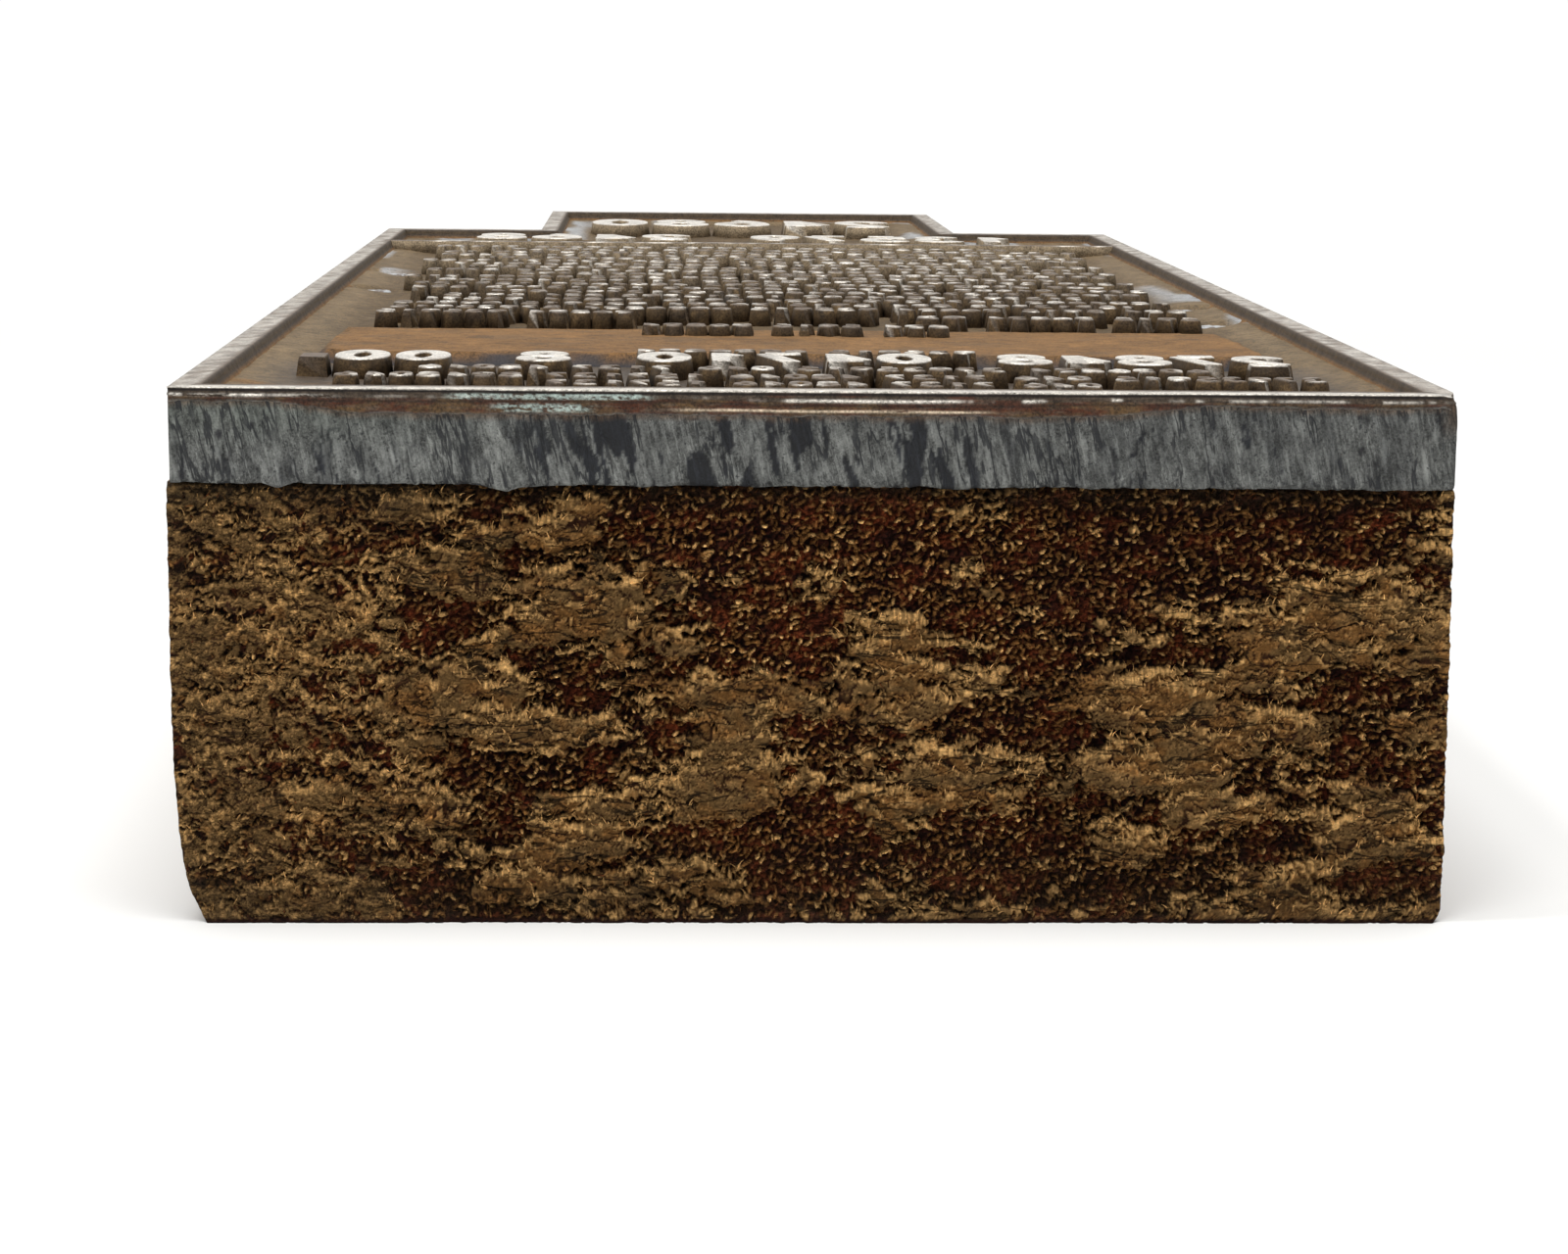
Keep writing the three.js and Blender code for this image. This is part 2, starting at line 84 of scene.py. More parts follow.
# Its colours, and the marks on its front
METAL_LIGHT = (0.142, 0.146, 0.138)
METAL_DARK = (0.010, 0.011, 0.014)
METAL_GREEN = (0.085, 0.10, 0.082)
METAL_RUST = (0.12, 0.075, 0.045)
METAL_PIT = (0.02, 0.02, 0.022)
METAL_CRACK = (0.01, 0.01, 0.012)
METAL_PITS = [
    # place across the front, distance under the top, and radius
    (23.3, 2.45, 0.2), (24.0, 3.0, 0.16), (-26.9, 3.7, 0.2),
    (-25.3, 2.0, 0.22), (-23.9, 1.6, 0.15), (8.2, 2.6, 0.12),
]
METAL_RUNS = [
    # where the cast metal ran down over the wood: place across the front, drop and half width
    (-22.8, 0.16, 0.35), (-13.3, 0.26, 0.75), (-7.5, 0.1, 0.5), (6.0, 0.08, 0.8),
]
CRACK_PLACE = -21.2

# How far along the block the shoulders' pattern is shifted, so that it isn't the walls' one
SHOULDER_SHIFT = 40.0

# The copper's cut edge: its depth away from the front, the points down it, and their spacing along
# each side of the plate
EDGE_DEPTH = 0.55
EDGE_LEVELS = 26
RULE_STEPS = (0.07, 0.35, 0.35, 0.35, 0.35, 0.35, 0.35, 0.35)

# The label form: a frame rule with a tab at the far end, the floor round the type and the blank on it
TAB_HALF = 15.8
TAB_LENGTH = 26.2
SHOULDER = FAR - TAB_LENGTH
RULE_WIDTH = 1.3
WALL_FLARE = 0.2
MARGIN_WIDTH = 3.4
MARGIN_DEPTH = 0.6
TYPE_DEPTH = 0.95
POCKET_FLOOR = TYPE_HEIGHT - TYPE_DEPTH - 0.25
COPPER_UNDERSIDE = TYPE_HEIGHT - TYPE_DEPTH - 0.3
ROUT_FLOOR = TYPE_HEIGHT - 2.0
FLOOR_STEP = 0.36
CROSS_RULE = SHOULDER - 14.4
CROSS_RULE_WIDTH = 0.7
BLANK = {"start": 19.2, "length": 16.4, "inset": 4.2, "radius": 3.0, "near": 0.32, "far": 0.62}

# Type, with the same places as in the solids. Fineness is in points for a full turn of a curve, rubbed
# says how bright the tops are, and the warmth is laid over the colours of the sides
TEXT_WIDTH = 45.0
SMALL_HEIGHT = 1.55
SMALL_PITCH = 2.85
LETTER_WIDTH = 1.2
WORD_SPACE = 0.9
SHORTEST_WORD = 2.5
TEXT_START = 41.4
TEXT_PIECE_LINES = 7
CROSS_RULE_SPACE = 2.0
FIGURE_DEPTH = TYPE_DEPTH + 0.1
FIGURE_SHARE = 0.91
SMALL_SHARE = 0.88
STROKE_SHARE = 0.34
LARGE_FINENESS = 26
FRONT_FINENESS = 12
TEXT_FINENESS = 8
LARGE_RUBBED = 1.0
SMALL_RUBBED = 0.62
MARK_RUBBED = 0.45
RULE_RUBBED = 0.6
TYPE_WARMTH = (1, 0.93, 0.84, 1)

# How much lower each further stroke of a figure lies, so that strokes that cross don't share one plane
HAIR = 0.012

FRONT_LINES = [
    # start from the front edge, letter height, left end and right end, as shares
    (0.0165, 0.0130, -0.24, 0.23),
    (0.0375, 0.0130, -0.44, 0.42),
    (0.0635, 0.0115, -0.36, 0.335),
    (0.1235, 0.0085, -0.18, 0.155),
    (0.2773, 0.0111, -0.4175, -0.146),
    (0.2622, 0.0111, 0.128, 0.41),
    (0.2220, 0.0110, -0.163, 0.153),
]
FIGURE_ROWS = [
    # start and height along the block, the row's ends across it, and what it shows
    (0.0885, 0.0325, -0.4847, 0.5133, "27848 04710 8 00"),
    (0.7350, 0.0450, -0.4500, 0.4500, "13579 2468"),
    (0.8620, 0.0600, -0.2700, 0.2700, "24680"),
]
END_MARK = (0.0955, 0.0125, -0.426, -0.4045)
INDENTS = [(0, 1), (0.02, 0.95), (0.05, 1), (0, 0.9), (0.09, 0.98)]

# The torn end grain: how deep the pieces that carry it reach, how many times coarser the far one's grid
# is, how far down an edge's painted shadow reaches and its fibres hang, and the colour of its darker
# bands
END_DEPTH = 2.0
FAR_COARSER = 2
SHADOW_REACH = 0.15
FRINGE_REACH = 0.6
DARKER_BANDS_TONE = (0.04, 0.028, 0.015)

# Loose fibres: the seed of their places, and the points along each one and round it
STRAND_SEED = 9
STRAND_RINGS = 4
STRAND_SIDES = 3

# The grain's main forms, the same as in the solids: the size of its patches, the seeds of the two ends,
# and the front end's hollows as middle, half sizes and weight, in shares
GRAIN_WIDTH = 3.4
GRAIN_HEIGHT = 1.7
FRONT_GRAIN = 11
FAR_GRAIN = 14
HOLLOWS = [
    (0.401, 0.983, 0.693, 0.239, 0.75),
    (-0.109, 0.885, 0.219, 0.135, 0.35),
    (-0.584, 1.02, 0.438, 0.047, 0.6),
    (0.657, 0.364, 0.438, 0.416, -0.14),
    (-0.875, 0.468, 0.255, 0.624, -0.1),
    (-0.08, 0.598, 0.095, 0.078, 0.5),
    (-0.036, 0.172, 0.124, 0.12, 0.8),
    (-0.423, 0.822, 0.113, 0.047, 0.4),
    (0.861, 0.552, 0.047, 0.031, 1.0),
    (-0.255, 0.385, 0.124, 0.068, 0.4),
    (0.131, 0.328, 0.08, 0.068, 0.4),
    (0.445, 0.437, 0.08, 0.042, 0.3),
    (-0.419, 0.552, 0.226, 0.099, 0.25),
    (0.35, 0.114, 0.16, 0.057, 0.35),
    (0.715, 0.151, 0.088, 0.047, 0.3),
    (-0.62, 0.156, 0.204, 0.104, 0.25),
    (0.007, 0.416, 0.095, 0.073, 0.4),
    (0.602, 0.614, 0.095, 0.026, 0.4),
    (0.201, 0.177, 0.139, 0.073, 0.35),
]

# Nails: their places, in shares along the block and along the tab, their tops and their shape
MARGIN_NAIL_X = HALF_WIDTH - 3.2
SHOULDER_NAIL_X = HALF_WIDTH - 5.6
LEFT_NAILS = (0.46, 0.56, 0.76)
RIGHT_NAILS = (0.31, 0.385, 0.76)
SHOULDER_NAILS = (0.24, 0.74)
MARGIN_NAIL_TOP = TYPE_HEIGHT - 1.0
SHOULDER_NAIL_TOP = ROUT_FLOOR + 0.02
NAIL_HEAD = 1.0
NAIL_TURN = 40
NAIL_PROFILE = [
    # distance from the axis in shares of the head's radius, and height over the head's rim
    (0.02, 0.10), (0.35, 0.105), (0.7, 0.09), (0.88, 0.05), (0.97, -0.03), (1.0, -0.12),
    (0.99, -0.36), (0.9, -0.42), (0.55, -0.44), (0.55, -12.4), (0.02, -14.0),
]

# The camera, from the photograph: focal length in pixels of its width, place, and turn in degrees
PHOTO_WIDTH = 1600
FOCAL_PIXELS = 3300
CAMERA_PLACE = (-6.695, FRONT - 136.52, 38.12)
CAMERA_YAW = -2.247
CAMERA_PITCH = 10.362
CAMERA_ROLL = 0.634

# The stage: the white that the camera and reflections see, the light from all round, and the lamps, in
# metres and watts
PAPER_WHITE = (1.0, 0.998, 0.985, 1)
PAPER_STRENGTH = 1.03
AMBIENT = 0.28
LAMPS = [
    # name, place, width, power and colour
    ("overhead", (0.02, -0.10, 0.75), 0.5, 6.0, (1, 1, 1)),
    ("high_left", (-0.364, -0.112, 0.826), 0.09, 1.9, (1, 1, 1)),
    ("window", (-0.55, -0.65, 0.5), 0.5, 2.2, (1.0, 0.985, 0.96)),
    ("fill", (0.6, -0.5, 0.3), 0.5, 0.7, (1, 1, 1)),
]


# Noise on arrays

def lattice(i, j, seed):
    """A fixed random number from 0 to 1 for each whole-number cell."""
    n = (i * 374761393 + j * 668265263 + seed * 974634777) & 0xFFFFFFFF
    n = ((n ^ (n >> 13)) * 1274126177) & 0xFFFFFFFF
    return ((n ^ (n >> 16)) & 0xFFFFFFFF) / 4294967295.0


def value_noise(u, v, seed):
    """Cell numbers blended smoothly between the corners of each unit cell, from 0 to 1."""
    iu = np.floor(u).astype(np.int64)
    iv = np.floor(v).astype(np.int64)
    fu = u - iu
    fv = v - iv
    fu = fu * fu * (3 - 2 * fu)
    fv = fv * fv * (3 - 2 * fv)
    near = lattice(iu, iv, seed) * (1 - fu) + lattice(iu + 1, iv, seed) * fu
    far = lattice(iu, iv + 1, seed) * (1 - fu) + lattice(iu + 1, iv + 1, seed) * fu
    return near * (1 - fv) + far * fv


def cloud(u, v, seed, octaves=4):
    """Value noise summed over octaves, each twice as fine and half as strong, from -1 to 1."""
    total = np.zeros(np.broadcast(u, v).shape)
    weight = 0.0
    for k in range(octaves):
        total = total + (2 * value_noise(u * 2**k, v * 2**k, seed + 17 * k) - 1) / 2**k
        weight += 1 / 2**k
    return total / weight


def wave(run, seed, octaves=4):
    """The same noise along one direction only."""
    return cloud(run, 0 * run, seed, octaves)


def patches(u, v, seed=0):
    """The same noise over the places u and v, as a function of its patches' width and height, of a
    number that is added to the seed, and of its octaves."""
    return lambda wide, tall, number, octaves=4: cloud(u / wide, v / tall, seed + number, octaves)


def smooth(low, high, x):
    """0 below low, 1 above high, and a smooth step between."""
    t = np.clip((x - low) / (high - low), 0, 1)
    return t * t * (3 - 2 * t)


def band(x, left, right, soft):
    """1 between two places and 0 outside them, with soft ends."""
    return smooth(left - soft, left + soft, x) * smooth(right + soft, right - soft, x)


def blend(a, b, t):
    """Colour rows a to b by the share t of each point."""
    return np.asarray(a) * (1 - t)[..., None] + np.asarray(b) * t[..., None]


def shaded(tint, share):
    """Colour rows multiplied by the share of each point."""
    return tint * share[..., None]


def painted(tint, *layers):
    """Colour rows with layers laid on in turn, each a colour and the share that it covers."""
    for tone, share in layers:
        tint = blend(tint, tone, share)
    return tint


# Meshes from arrays

class Patchwork:
    """Points, faces and point values gathered from parts, then made into one object."""

    def __init__(self):
        self.points = []
        self.faces = []
        self.kinds = []
        self.soft = []
        self.tints = []
        self.count = 0

    def add(self, points, faces, tint, kinds=0, flat=()):
        """Adds points (n, 3) in mm, a list of index arrays (m, k), and tints (n, 4). The kinds are the
        blocks' material slots, and the blocks whose numbers are in flat are shaded flat."""
        points = np.asarray(points, float).reshape(-1, 3)
        tint = np.broadcast_to(np.asarray(tint, float), (len(points), 4))
        kinds = np.broadcast_to(kinds, len(faces))
        for number, (block, kind) in enumerate(zip(faces, kinds)):
            block = np.asarray(block)
            self.faces.append(block + self.count)
            self.kinds.append(np.full(len(block), kind))
            self.soft.append(np.full(len(block), number not in flat))
        self.points.append(points)
        self.tints.append(tint)
        self.count += len(points)

    def make(self, name, materials, nodes):
        """One object that stands for the named nodes and rides on the block."""
        points = np.concatenate(self.points) * MM
        mesh = bpy.data.meshes.new(name)
        mesh.vertices.add(len(points))
        mesh.vertices.foreach_set("co", points.ravel())
        corners = np.concatenate([block.ravel() for block in self.faces])
        totals = np.concatenate([np.full(len(block), block.shape[1]) for block in self.faces])
        starts = np.concatenate([[0], np.cumsum(totals)[:-1]])
        mesh.loops.add(len(corners))
        mesh.loops.foreach_set("vertex_index", corners)
        mesh.polygons.add(len(totals))
        mesh.polygons.foreach_set("loop_start", starts)
        mesh.polygons.foreach_set("loop_total", totals)
        mesh.polygons.foreach_set("material_index", np.concatenate(self.kinds))
        mesh.polygons.foreach_set("use_smooth", np.concatenate(self.soft))
        mesh.update(calc_edges=True)
        tint = mesh.color_attributes.new("tint", "FLOAT_COLOR", "POINT")
        tint.data.foreach_set("color", np.concatenate(self.tints).ravel())
        for material in materials:
            mesh.materials.append(material)
        piece = bpy.data.objects.new(name, mesh)
        bpy.context.scene.collection.objects.link(piece)
        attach(piece, "root")
        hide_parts(*nodes)
        return piece


def grid_faces(rows, columns, closed_rows=False, closed_columns=False, flip=False):
    """Quads over a grid of points stored row by row, wrapped round where it is closed."""
    r = np.arange(rows if closed_rows else rows - 1)
    c = np.arange(columns if closed_columns else columns - 1)
    r, c = np.meshgrid(r, c, indexing="ij")
    r2 = (r + 1) % rows
    c2 = (c + 1) % columns
    corners = [r * columns + c, r * columns + c2, r2 * columns + c2, r2 * columns + c]
    quads = np.stack(corners, -1).reshape(-1, 4)
    return quads[:, ::-1] if flip else quads


def end_caps(rows, columns):
    """The first row of a grid as one face that looks back, and the last row as one that looks ahead."""
    k = np.arange(columns)
    return k[::-1][None, :], ((rows - 1) * columns + k)[None, :]


def rim_of(rows, columns):
    """The border of a grid as one loop: first row, last column, last row back, first column back."""
    first = np.arange(columns)
    last = np.arange(1, rows) * columns + columns - 1
    back = (rows - 1) * columns + np.arange(columns - 2, -1, -1)
    down = np.arange(rows - 2, 0, -1) * columns
    return np.concatenate([first, last, back, down])


def closed_sheet(work, points, tint, under, flip=False):
    """A grid sheet (rows, columns, 3) closed by walls down from its rim to a flat underside."""
    rows, columns = points.shape[:2]
    points = points.reshape(-1, 3)
    tint = tint.reshape(-1, 4)
    rim = rim_of(rows, columns)
    foot = points[rim].copy()
    foot[:, 2] = under
    n = len(rim)
    total = len(points)
    k = np.arange(n)
    wall = np.stack([rim, total + k, total + (k + 1) % n, rim[(k + 1) % n]], -1)
    faces = [grid_faces(rows, columns), wall, (total + k[::-1])[None, :]]
    if flip:
        faces = [block[:, ::-1] for block in faces]
    work.add(np.concatenate([points, foot]), faces, np.concatenate([tint, tint[rim]]), flat=(1, 2))


# Shader maths

def feed(tree, slot, value):
    """Links a wire to a node's socket, or sets the socket to a plain value."""
    if isinstance(value, Wire):
        tree.links.new(value.socket, slot)
    else:
        slot.default_value = value


class Wire:
    """A shader value. Python's operators on it add Math nodes."""

    def __init__(self, tree, socket):
        self.tree = tree
        self.socket = socket

    def math(self, operation, *values):
        """A Math node on this value and the others."""
        node = self.tree.nodes.new("ShaderNodeMath")
        node.operation = operation
        for slot, value in zip(node.inputs, (self, *values)):
            feed(self.tree, slot, value)
        return Wire(self.tree, node.outputs[0])

    def __add__(self, other):
        return self.math("ADD", other)

    def __mul__(self, other):
        return self.math("MULTIPLY", other)

    def __sub__(self, other):
        return self.math("SUBTRACT", other)

    def __rsub__(self, other):
        return (self * -1).math("ADD", other)

    def step(self, low, high):
        """0 below low, 1 above high, smooth between."""
        node = self.tree.nodes.new("ShaderNodeMapRange")
        node.interpolation_type = "SMOOTHSTEP"
        node.inputs["From Min"].default_value = low
        node.inputs["From Max"].default_value = high
        self.tree.links.new(self.socket, node.inputs["Value"])
        return Wire(self.tree, node.outputs["Result"])


class Finish:
    """A material in the making. Places are in millimetres on the object."""

    def __init__(self, name, roughness, metallic=0.0, specular=0.5):
        self.material = bpy.data.materials.new(name)
        self.material.use_nodes = True
        self.tree = self.material.node_tree
        self.shader = self.tree.nodes["Principled BSDF"]
        self.set("Metallic", metallic)
        self.set("Roughness", roughness)
        self.set("Specular IOR Level", specular)
        self.place = self.scaled(self.node("ShaderNodeTexCoord", output="Object"), 1 / MM)

    def node(self, kind, settings=None, values=None, output=0):
        """Adds a node: its settings first, then the values or links of its sockets."""
        node = self.tree.nodes.new(kind)
        for key, value in (settings or {}).items():
            setattr(node, key, value)
        for key, value in (values or {}).items():
            feed(self.tree, node.inputs[key], value)
        return Wire(self.tree, node.outputs[output])

    def stretched(self, x, y, z, place=None):
        """The place, or another one, scaled by a factor on each axis."""
        values = {0: place or self.place, 1: (x, y, z)}
        return self.node("ShaderNodeVectorMath", {"operation": "MULTIPLY"}, values)

    def noise(self, scale, place=None, detail=4.0, rough=0.55, warp=0.0):
        """Noise from 0 to 1, at a scale for each millimetre."""
        values = {"Vector": place or self.place, "Scale": scale}
        values.update({"Detail": detail, "Roughness": rough, "Distortion": warp})
        return self.node("ShaderNodeTexNoise", {"normalize": True}, values)

    def mix(self, share, first, second):
        """A colour between two, by a share."""
        ends = [value if isinstance(value, Wire) else (*value, 1) for value in (first, second)]
        values = {0: share, 6: ends[0], 7: ends[1]}
        return self.node("ShaderNodeMix", {"data_type": "RGBA"}, values, output=2)

    def scaled(self, vector, share):
        """A colour or a place multiplied by a value."""
        values = {"Vector": vector, "Scale": share}
        return self.node("ShaderNodeVectorMath", {"operation": "SCALE"}, values)

    def tint(self, output="Color"):
        """The colour painted on the mesh's points."""
        return self.node("ShaderNodeAttribute", {"attribute_name": "tint"}, output=output)

    def bump(self, height, strength, depth):
        """A Bump node on the shader's normal. The depth is in millimetres."""
        values = {"Strength": strength, "Distance": depth * MM, "Height": height}
        self.set("Normal", self.node("ShaderNodeBump", values=values))

    def set(self, socket, value):
        """Sets a socket of the shader to a value or a wire."""
        feed(self.tree, self.shader.inputs[socket], value)


def seen_directly(tree):
    """1 for the camera's rays, reflections and glass, and 0 for the light that falls on the block."""
    rays = tree.nodes.new("ShaderNodeLightPath")
    seen = Wire(tree, rays.outputs["Is Camera Ray"])
    for kind in ("Is Glossy Ray", "Is Transmission Ray"):
        seen = seen.math("MAXIMUM", Wire(tree, rays.outputs[kind]))
    return seen


# Finishes

def torn_wood_finish():
    """Rough end grain: the painted colour, broken up by fibres, grit, curled flakes and dark seams. The
    painted alpha says how strongly the flakes show, and the seams show where it is low."""
    finish = Finish("torn_end_grain", roughness=0.9, specular=0.1)
    fibres = finish.noise(7.0, finish.stretched(1.6, 1.0, 0.55), detail=5, rough=0.65)
    curls = finish.noise(4.2, finish.stretched(0.8, 1.0, 1.5), detail=4, rough=0.7, warp=1.6)
    hairs = finish.noise(6.0, finish.stretched(1.5, 1.0, 0.6), detail=2, warp=0.8).step(0.58, 0.66)
    grit = finish.noise(16.0, detail=3)
    flaky = finish.tint("Alpha")
    layers = finish.noise(0.85, finish.stretched(0.36, 1.0, 1.6), detail=2.5, rough=0.55, warp=0.4)
    seam = 1.0 - (layers - 0.5).math("ABSOLUTE").step(0.011, 0.028)
    seam = seam * (1.0 - flaky.step(0.5, 1.0) * 0.8) * finish.noise(0.6, detail=2).step(0.42, 0.50)
    cut = curls.step(0.40, 0.50) + curls.step(0.56, 0.62) * 0.6 - 0.66
    share = fibres * 0.6 + grit * 0.5 + cut * flaky + hairs * flaky * 1.15 + 0.40
    share = share.math("MAXIMUM", 0.12) * (1.0 - seam * 0.82)
    finish.set("Base Color", finish.scaled(finish.tint(), share))
    height = fibres * 0.7 + grit * 0.4 + curls.step(0.36, 0.6) + hairs * 0.5 + seam * -1.2
    finish.bump(height, 0.8, 0.09)
    return finish.material


def planed_wood_finish(colours):
    """Planed long grain: bands along the board, dark pores, ink and oil stains."""
    finish = Finish("planed_wood", roughness=0.6, specular=0.35)
    along = finish.stretched(1.0, 0.035, 1.0)
    bands = finish.noise(0.55, along, detail=3, warp=0.6)
    grain = finish.noise(3.2, along, detail=6, rough=0.7)
    pores = finish.noise(9.0, finish.stretched(1.0, 0.06, 1.0), detail=2).step(0.56, 0.7)
    stain = finish.noise(0.06, detail=5, rough=0.62).step(0.45, 0.68)
    colour = finish.mix(bands.step(0.35, 0.65), colours.board_dark, colours.board_light)
    colour = finish.scaled(colour, grain * 0.8 + 0.6)
    colour = finish.mix(pores * 0.55, colour, (0.03, 0.016, 0.008))
    colour = finish.mix(stain * 0.55, colour, (0.035, 0.024, 0.015))
    finish.set("Base Color", colour)
    finish.set("Roughness", grain * 0.25 + 0.45)
    saw = finish.noise(1.4, finish.stretched(0.2, 1.0, 0.05), detail=2)
    finish.bump(grain * 0.5 + pores * -0.6 + saw * 0.5, 0.45, 0.06)
    return finish.material


def type_metal_finish():
    """Dull lead alloy: the painted tone, broken up by saw scratches that lean, with blooms, grit and
    ridges. Thin dark lines lie where two noises cross their middle value, and specks where a third
    is high."""
    finish = Finish("type_metal", metallic=0.15, roughness=0.6, specular=0.3)
    turned = {"Vector": finish.place, "Rotation": (0, LEAN, 0)}
    lean = finish.node("ShaderNodeMapping", {"vector_type": "POINT"}, turned)
    scratch = finish.noise(5.0, finish.stretched(1.0, 1.0, 0.16, lean), detail=5, rough=0.65)
    tall = finish.stretched(1.0, 1.0, 0.15, lean)
    meander = finish.noise(0.9, tall, detail=4, rough=0.62)
    line = 1.0 - (meander - 0.5).math("ABSOLUTE").step(0.007, 0.024)
    line = line * finish.noise(0.45, finish.stretched(1.0, 1.0, 0.8), detail=2).step(0.40, 0.52)
    hair = 1.0 - (scratch - 0.5).math("ABSOLUTE").step(0.004, 0.030)
    hair = hair * finish.noise(0.7, tall, detail=2).step(0.46, 0.56)
    ridge = finish.noise(2.4, tall, detail=3).step(0.50, 0.66)
    bloom = finish.noise(1.6, finish.stretched(1.0, 1.0, 0.7), detail=6, rough=0.65)
    grit = finish.noise(11.0, detail=3, rough=0.7)
    specks = finish.noise(6.0, detail=2).step(0.64, 0.72)
    share = scratch.step(0.40, 0.60) * 0.55 + bloom.step(0.38, 0.62) * 0.50 + grit.step(0.3, 0.7) * 0.60
    share = (share + ridge * 0.5 + 0.02) * (1.0 - hair * 0.55)
    colour = finish.scaled(finish.tint(), share)
    colour = finish.mix((specks * 0.7).math("MAXIMUM", line * 0.85), colour, (0.012, 0.013, 0.016))
    finish.set("Base Color", colour)
    finish.set("Roughness", bloom * 0.3 + 0.42)
    finish.bump(scratch + grit * 0.6 + specks * -0.5 + line * -1.4 + ridge * 0.6, 0.8, 0.07)
    return finish.material


def copper_finish():
    """Tarnished copper: the painted colour, broken up by grit. Where the painted roughness is high,
    crust hides the metal."""
    finish = Finish("copper_face", roughness=0.4, specular=0.2)
    cloudy = finish.noise(1.6, detail=5, rough=0.6)
    grit = finish.noise(9.0, detail=4, rough=0.65)
    share = grit.step(0.3, 0.7) + cloudy.step(0.3, 0.7) * 0.5 + 0.25
    finish.set("Base Color", finish.scaled(finish.tint(), share))
    painted = finish.tint("Alpha")
    finish.set("Roughness", painted + grit * 0.3 - 0.15)
    finish.set("Metallic", 0.85 - painted.step(0.34, 0.60) * 0.85)
    finish.bump(grit * 0.6 + cloudy * 0.4, 0.8, 0.06)
    return finish.material


def nail_finish():
    """Old steel: grey with patches of brown rust."""
    finish = Finish("nail_steel", metallic=0.8, roughness=0.4)
    rust = finish.noise(3.0, detail=5, rough=0.6).step(0.45, 0.62)
    finish.set("Base Color", finish.mix(rust, (0.42, 0.44, 0.46), (0.12, 0.09, 0.07)))
    finish.set("Roughness", rust * 0.35 + 0.32)
    finish.bump(finish.noise(5.0, detail=4), 0.5, 0.05)
    return finish.material


def floor_finish(colours):
    """Pale paper that keeps a soft shadow round the block, and further out shows the camera and
    reflections white."""
    finish = Finish("pale_floor", roughness=0.9, specular=0.1)
    finish.set("Base Color", (*colours.floor, 1))
    seen = seen_directly(finish.tree)
    glow = finish.node("ShaderNodeEmission", values={"Color": PAPER_WHITE, "Strength": PAPER_STRENGTH})
    ends = {0: finish.place, 1: (0, 30, 0)}
    away = finish.node("ShaderNodeVectorMath", {"operation": "DISTANCE"}, ends, output="Value")
    paper = Wire(finish.tree, finish.shader.outputs[0])
    values = {0: seen * away.step(100.0, 260.0), 1: paper, 2: glow}
    both = finish.node("ShaderNodeMixShader", values=values)
    feed(finish.tree, finish.tree.nodes["Material Output"].inputs["Surface"], both)
    return finish.material


# The board

def board_edges(z, y):
    """Left and right edges of the board's section at height z: a little outside the metal, worn round
    at the foot, most of all at the near left corner, and ragged."""
    near = np.exp(-(y - FRONT) / 30.0)
    ragged = 0.06 * cloud(z / 0.45, y / 1.5, 31, 3)
    left = -HALF_WIDTH - 0.17 * smooth(2, 9, z) + (0.35 + 0.85 * near) * np.exp(-z / 1.6) + ragged
    ragged = 0.06 * cloud(z / 0.4, y / 1.5, 47, 3)
    right = HALF_WIDTH + 0.05 + 0.33 * (1 - z / WOOD_TOP) - 0.4 * np.exp(-z / 0.35) + ragged
    return left, right


def flakes(x, z, size, seed):
    """Distance to the nearest of long ovals, one in each cell, jittered and turned its own way, and
    that oval's random number."""
    iu = np.floor(x / size).astype(np.int64)
    iv = np.floor(z / size).astype(np.int64)
    best = np.full(x.shape, 9.0)
    which = np.zeros(x.shape)
    for di in (-1, 0, 1):
        for dj in (-1, 0, 1):
            du = x / size - iu - di - lattice(iu + di, iv + dj, seed)
            dv = z / size - iv - dj - lattice(iu + di, iv + dj, seed + 1)
            turn = 0.5 + 2.6 * (lattice(iu + di, iv + dj, seed + 3) - 0.5)
            along = du * np.cos(turn) + dv * np.sin(turn)
            across = dv * np.cos(turn) - du * np.sin(turn)
            reach = np.hypot(along, across / 0.42)
            nearer = reach < best
            best = np.where(nearer, reach, best)
            which = np.where(nearer, lattice(iu + di, iv + dj, seed + 2), which)
    return best, which


def torn_weight(x, z, hollows):
    """How much of the end grain is torn out, from the hollows: middle, half sizes and weight, as
    shares of half the block's width and of the wood's height."""
    weight = np.zeros_like(x)
    for place_x, place_z, half_x, half_z, strength in hollows:
        reach = np.hypot((x / HALF_WIDTH - place_x) / half_x, (z / WOOD_TOP - place_z) / half_z)
        weight = weight + strength * (1 - smooth(0.4, 1.4, reach))
    return weight


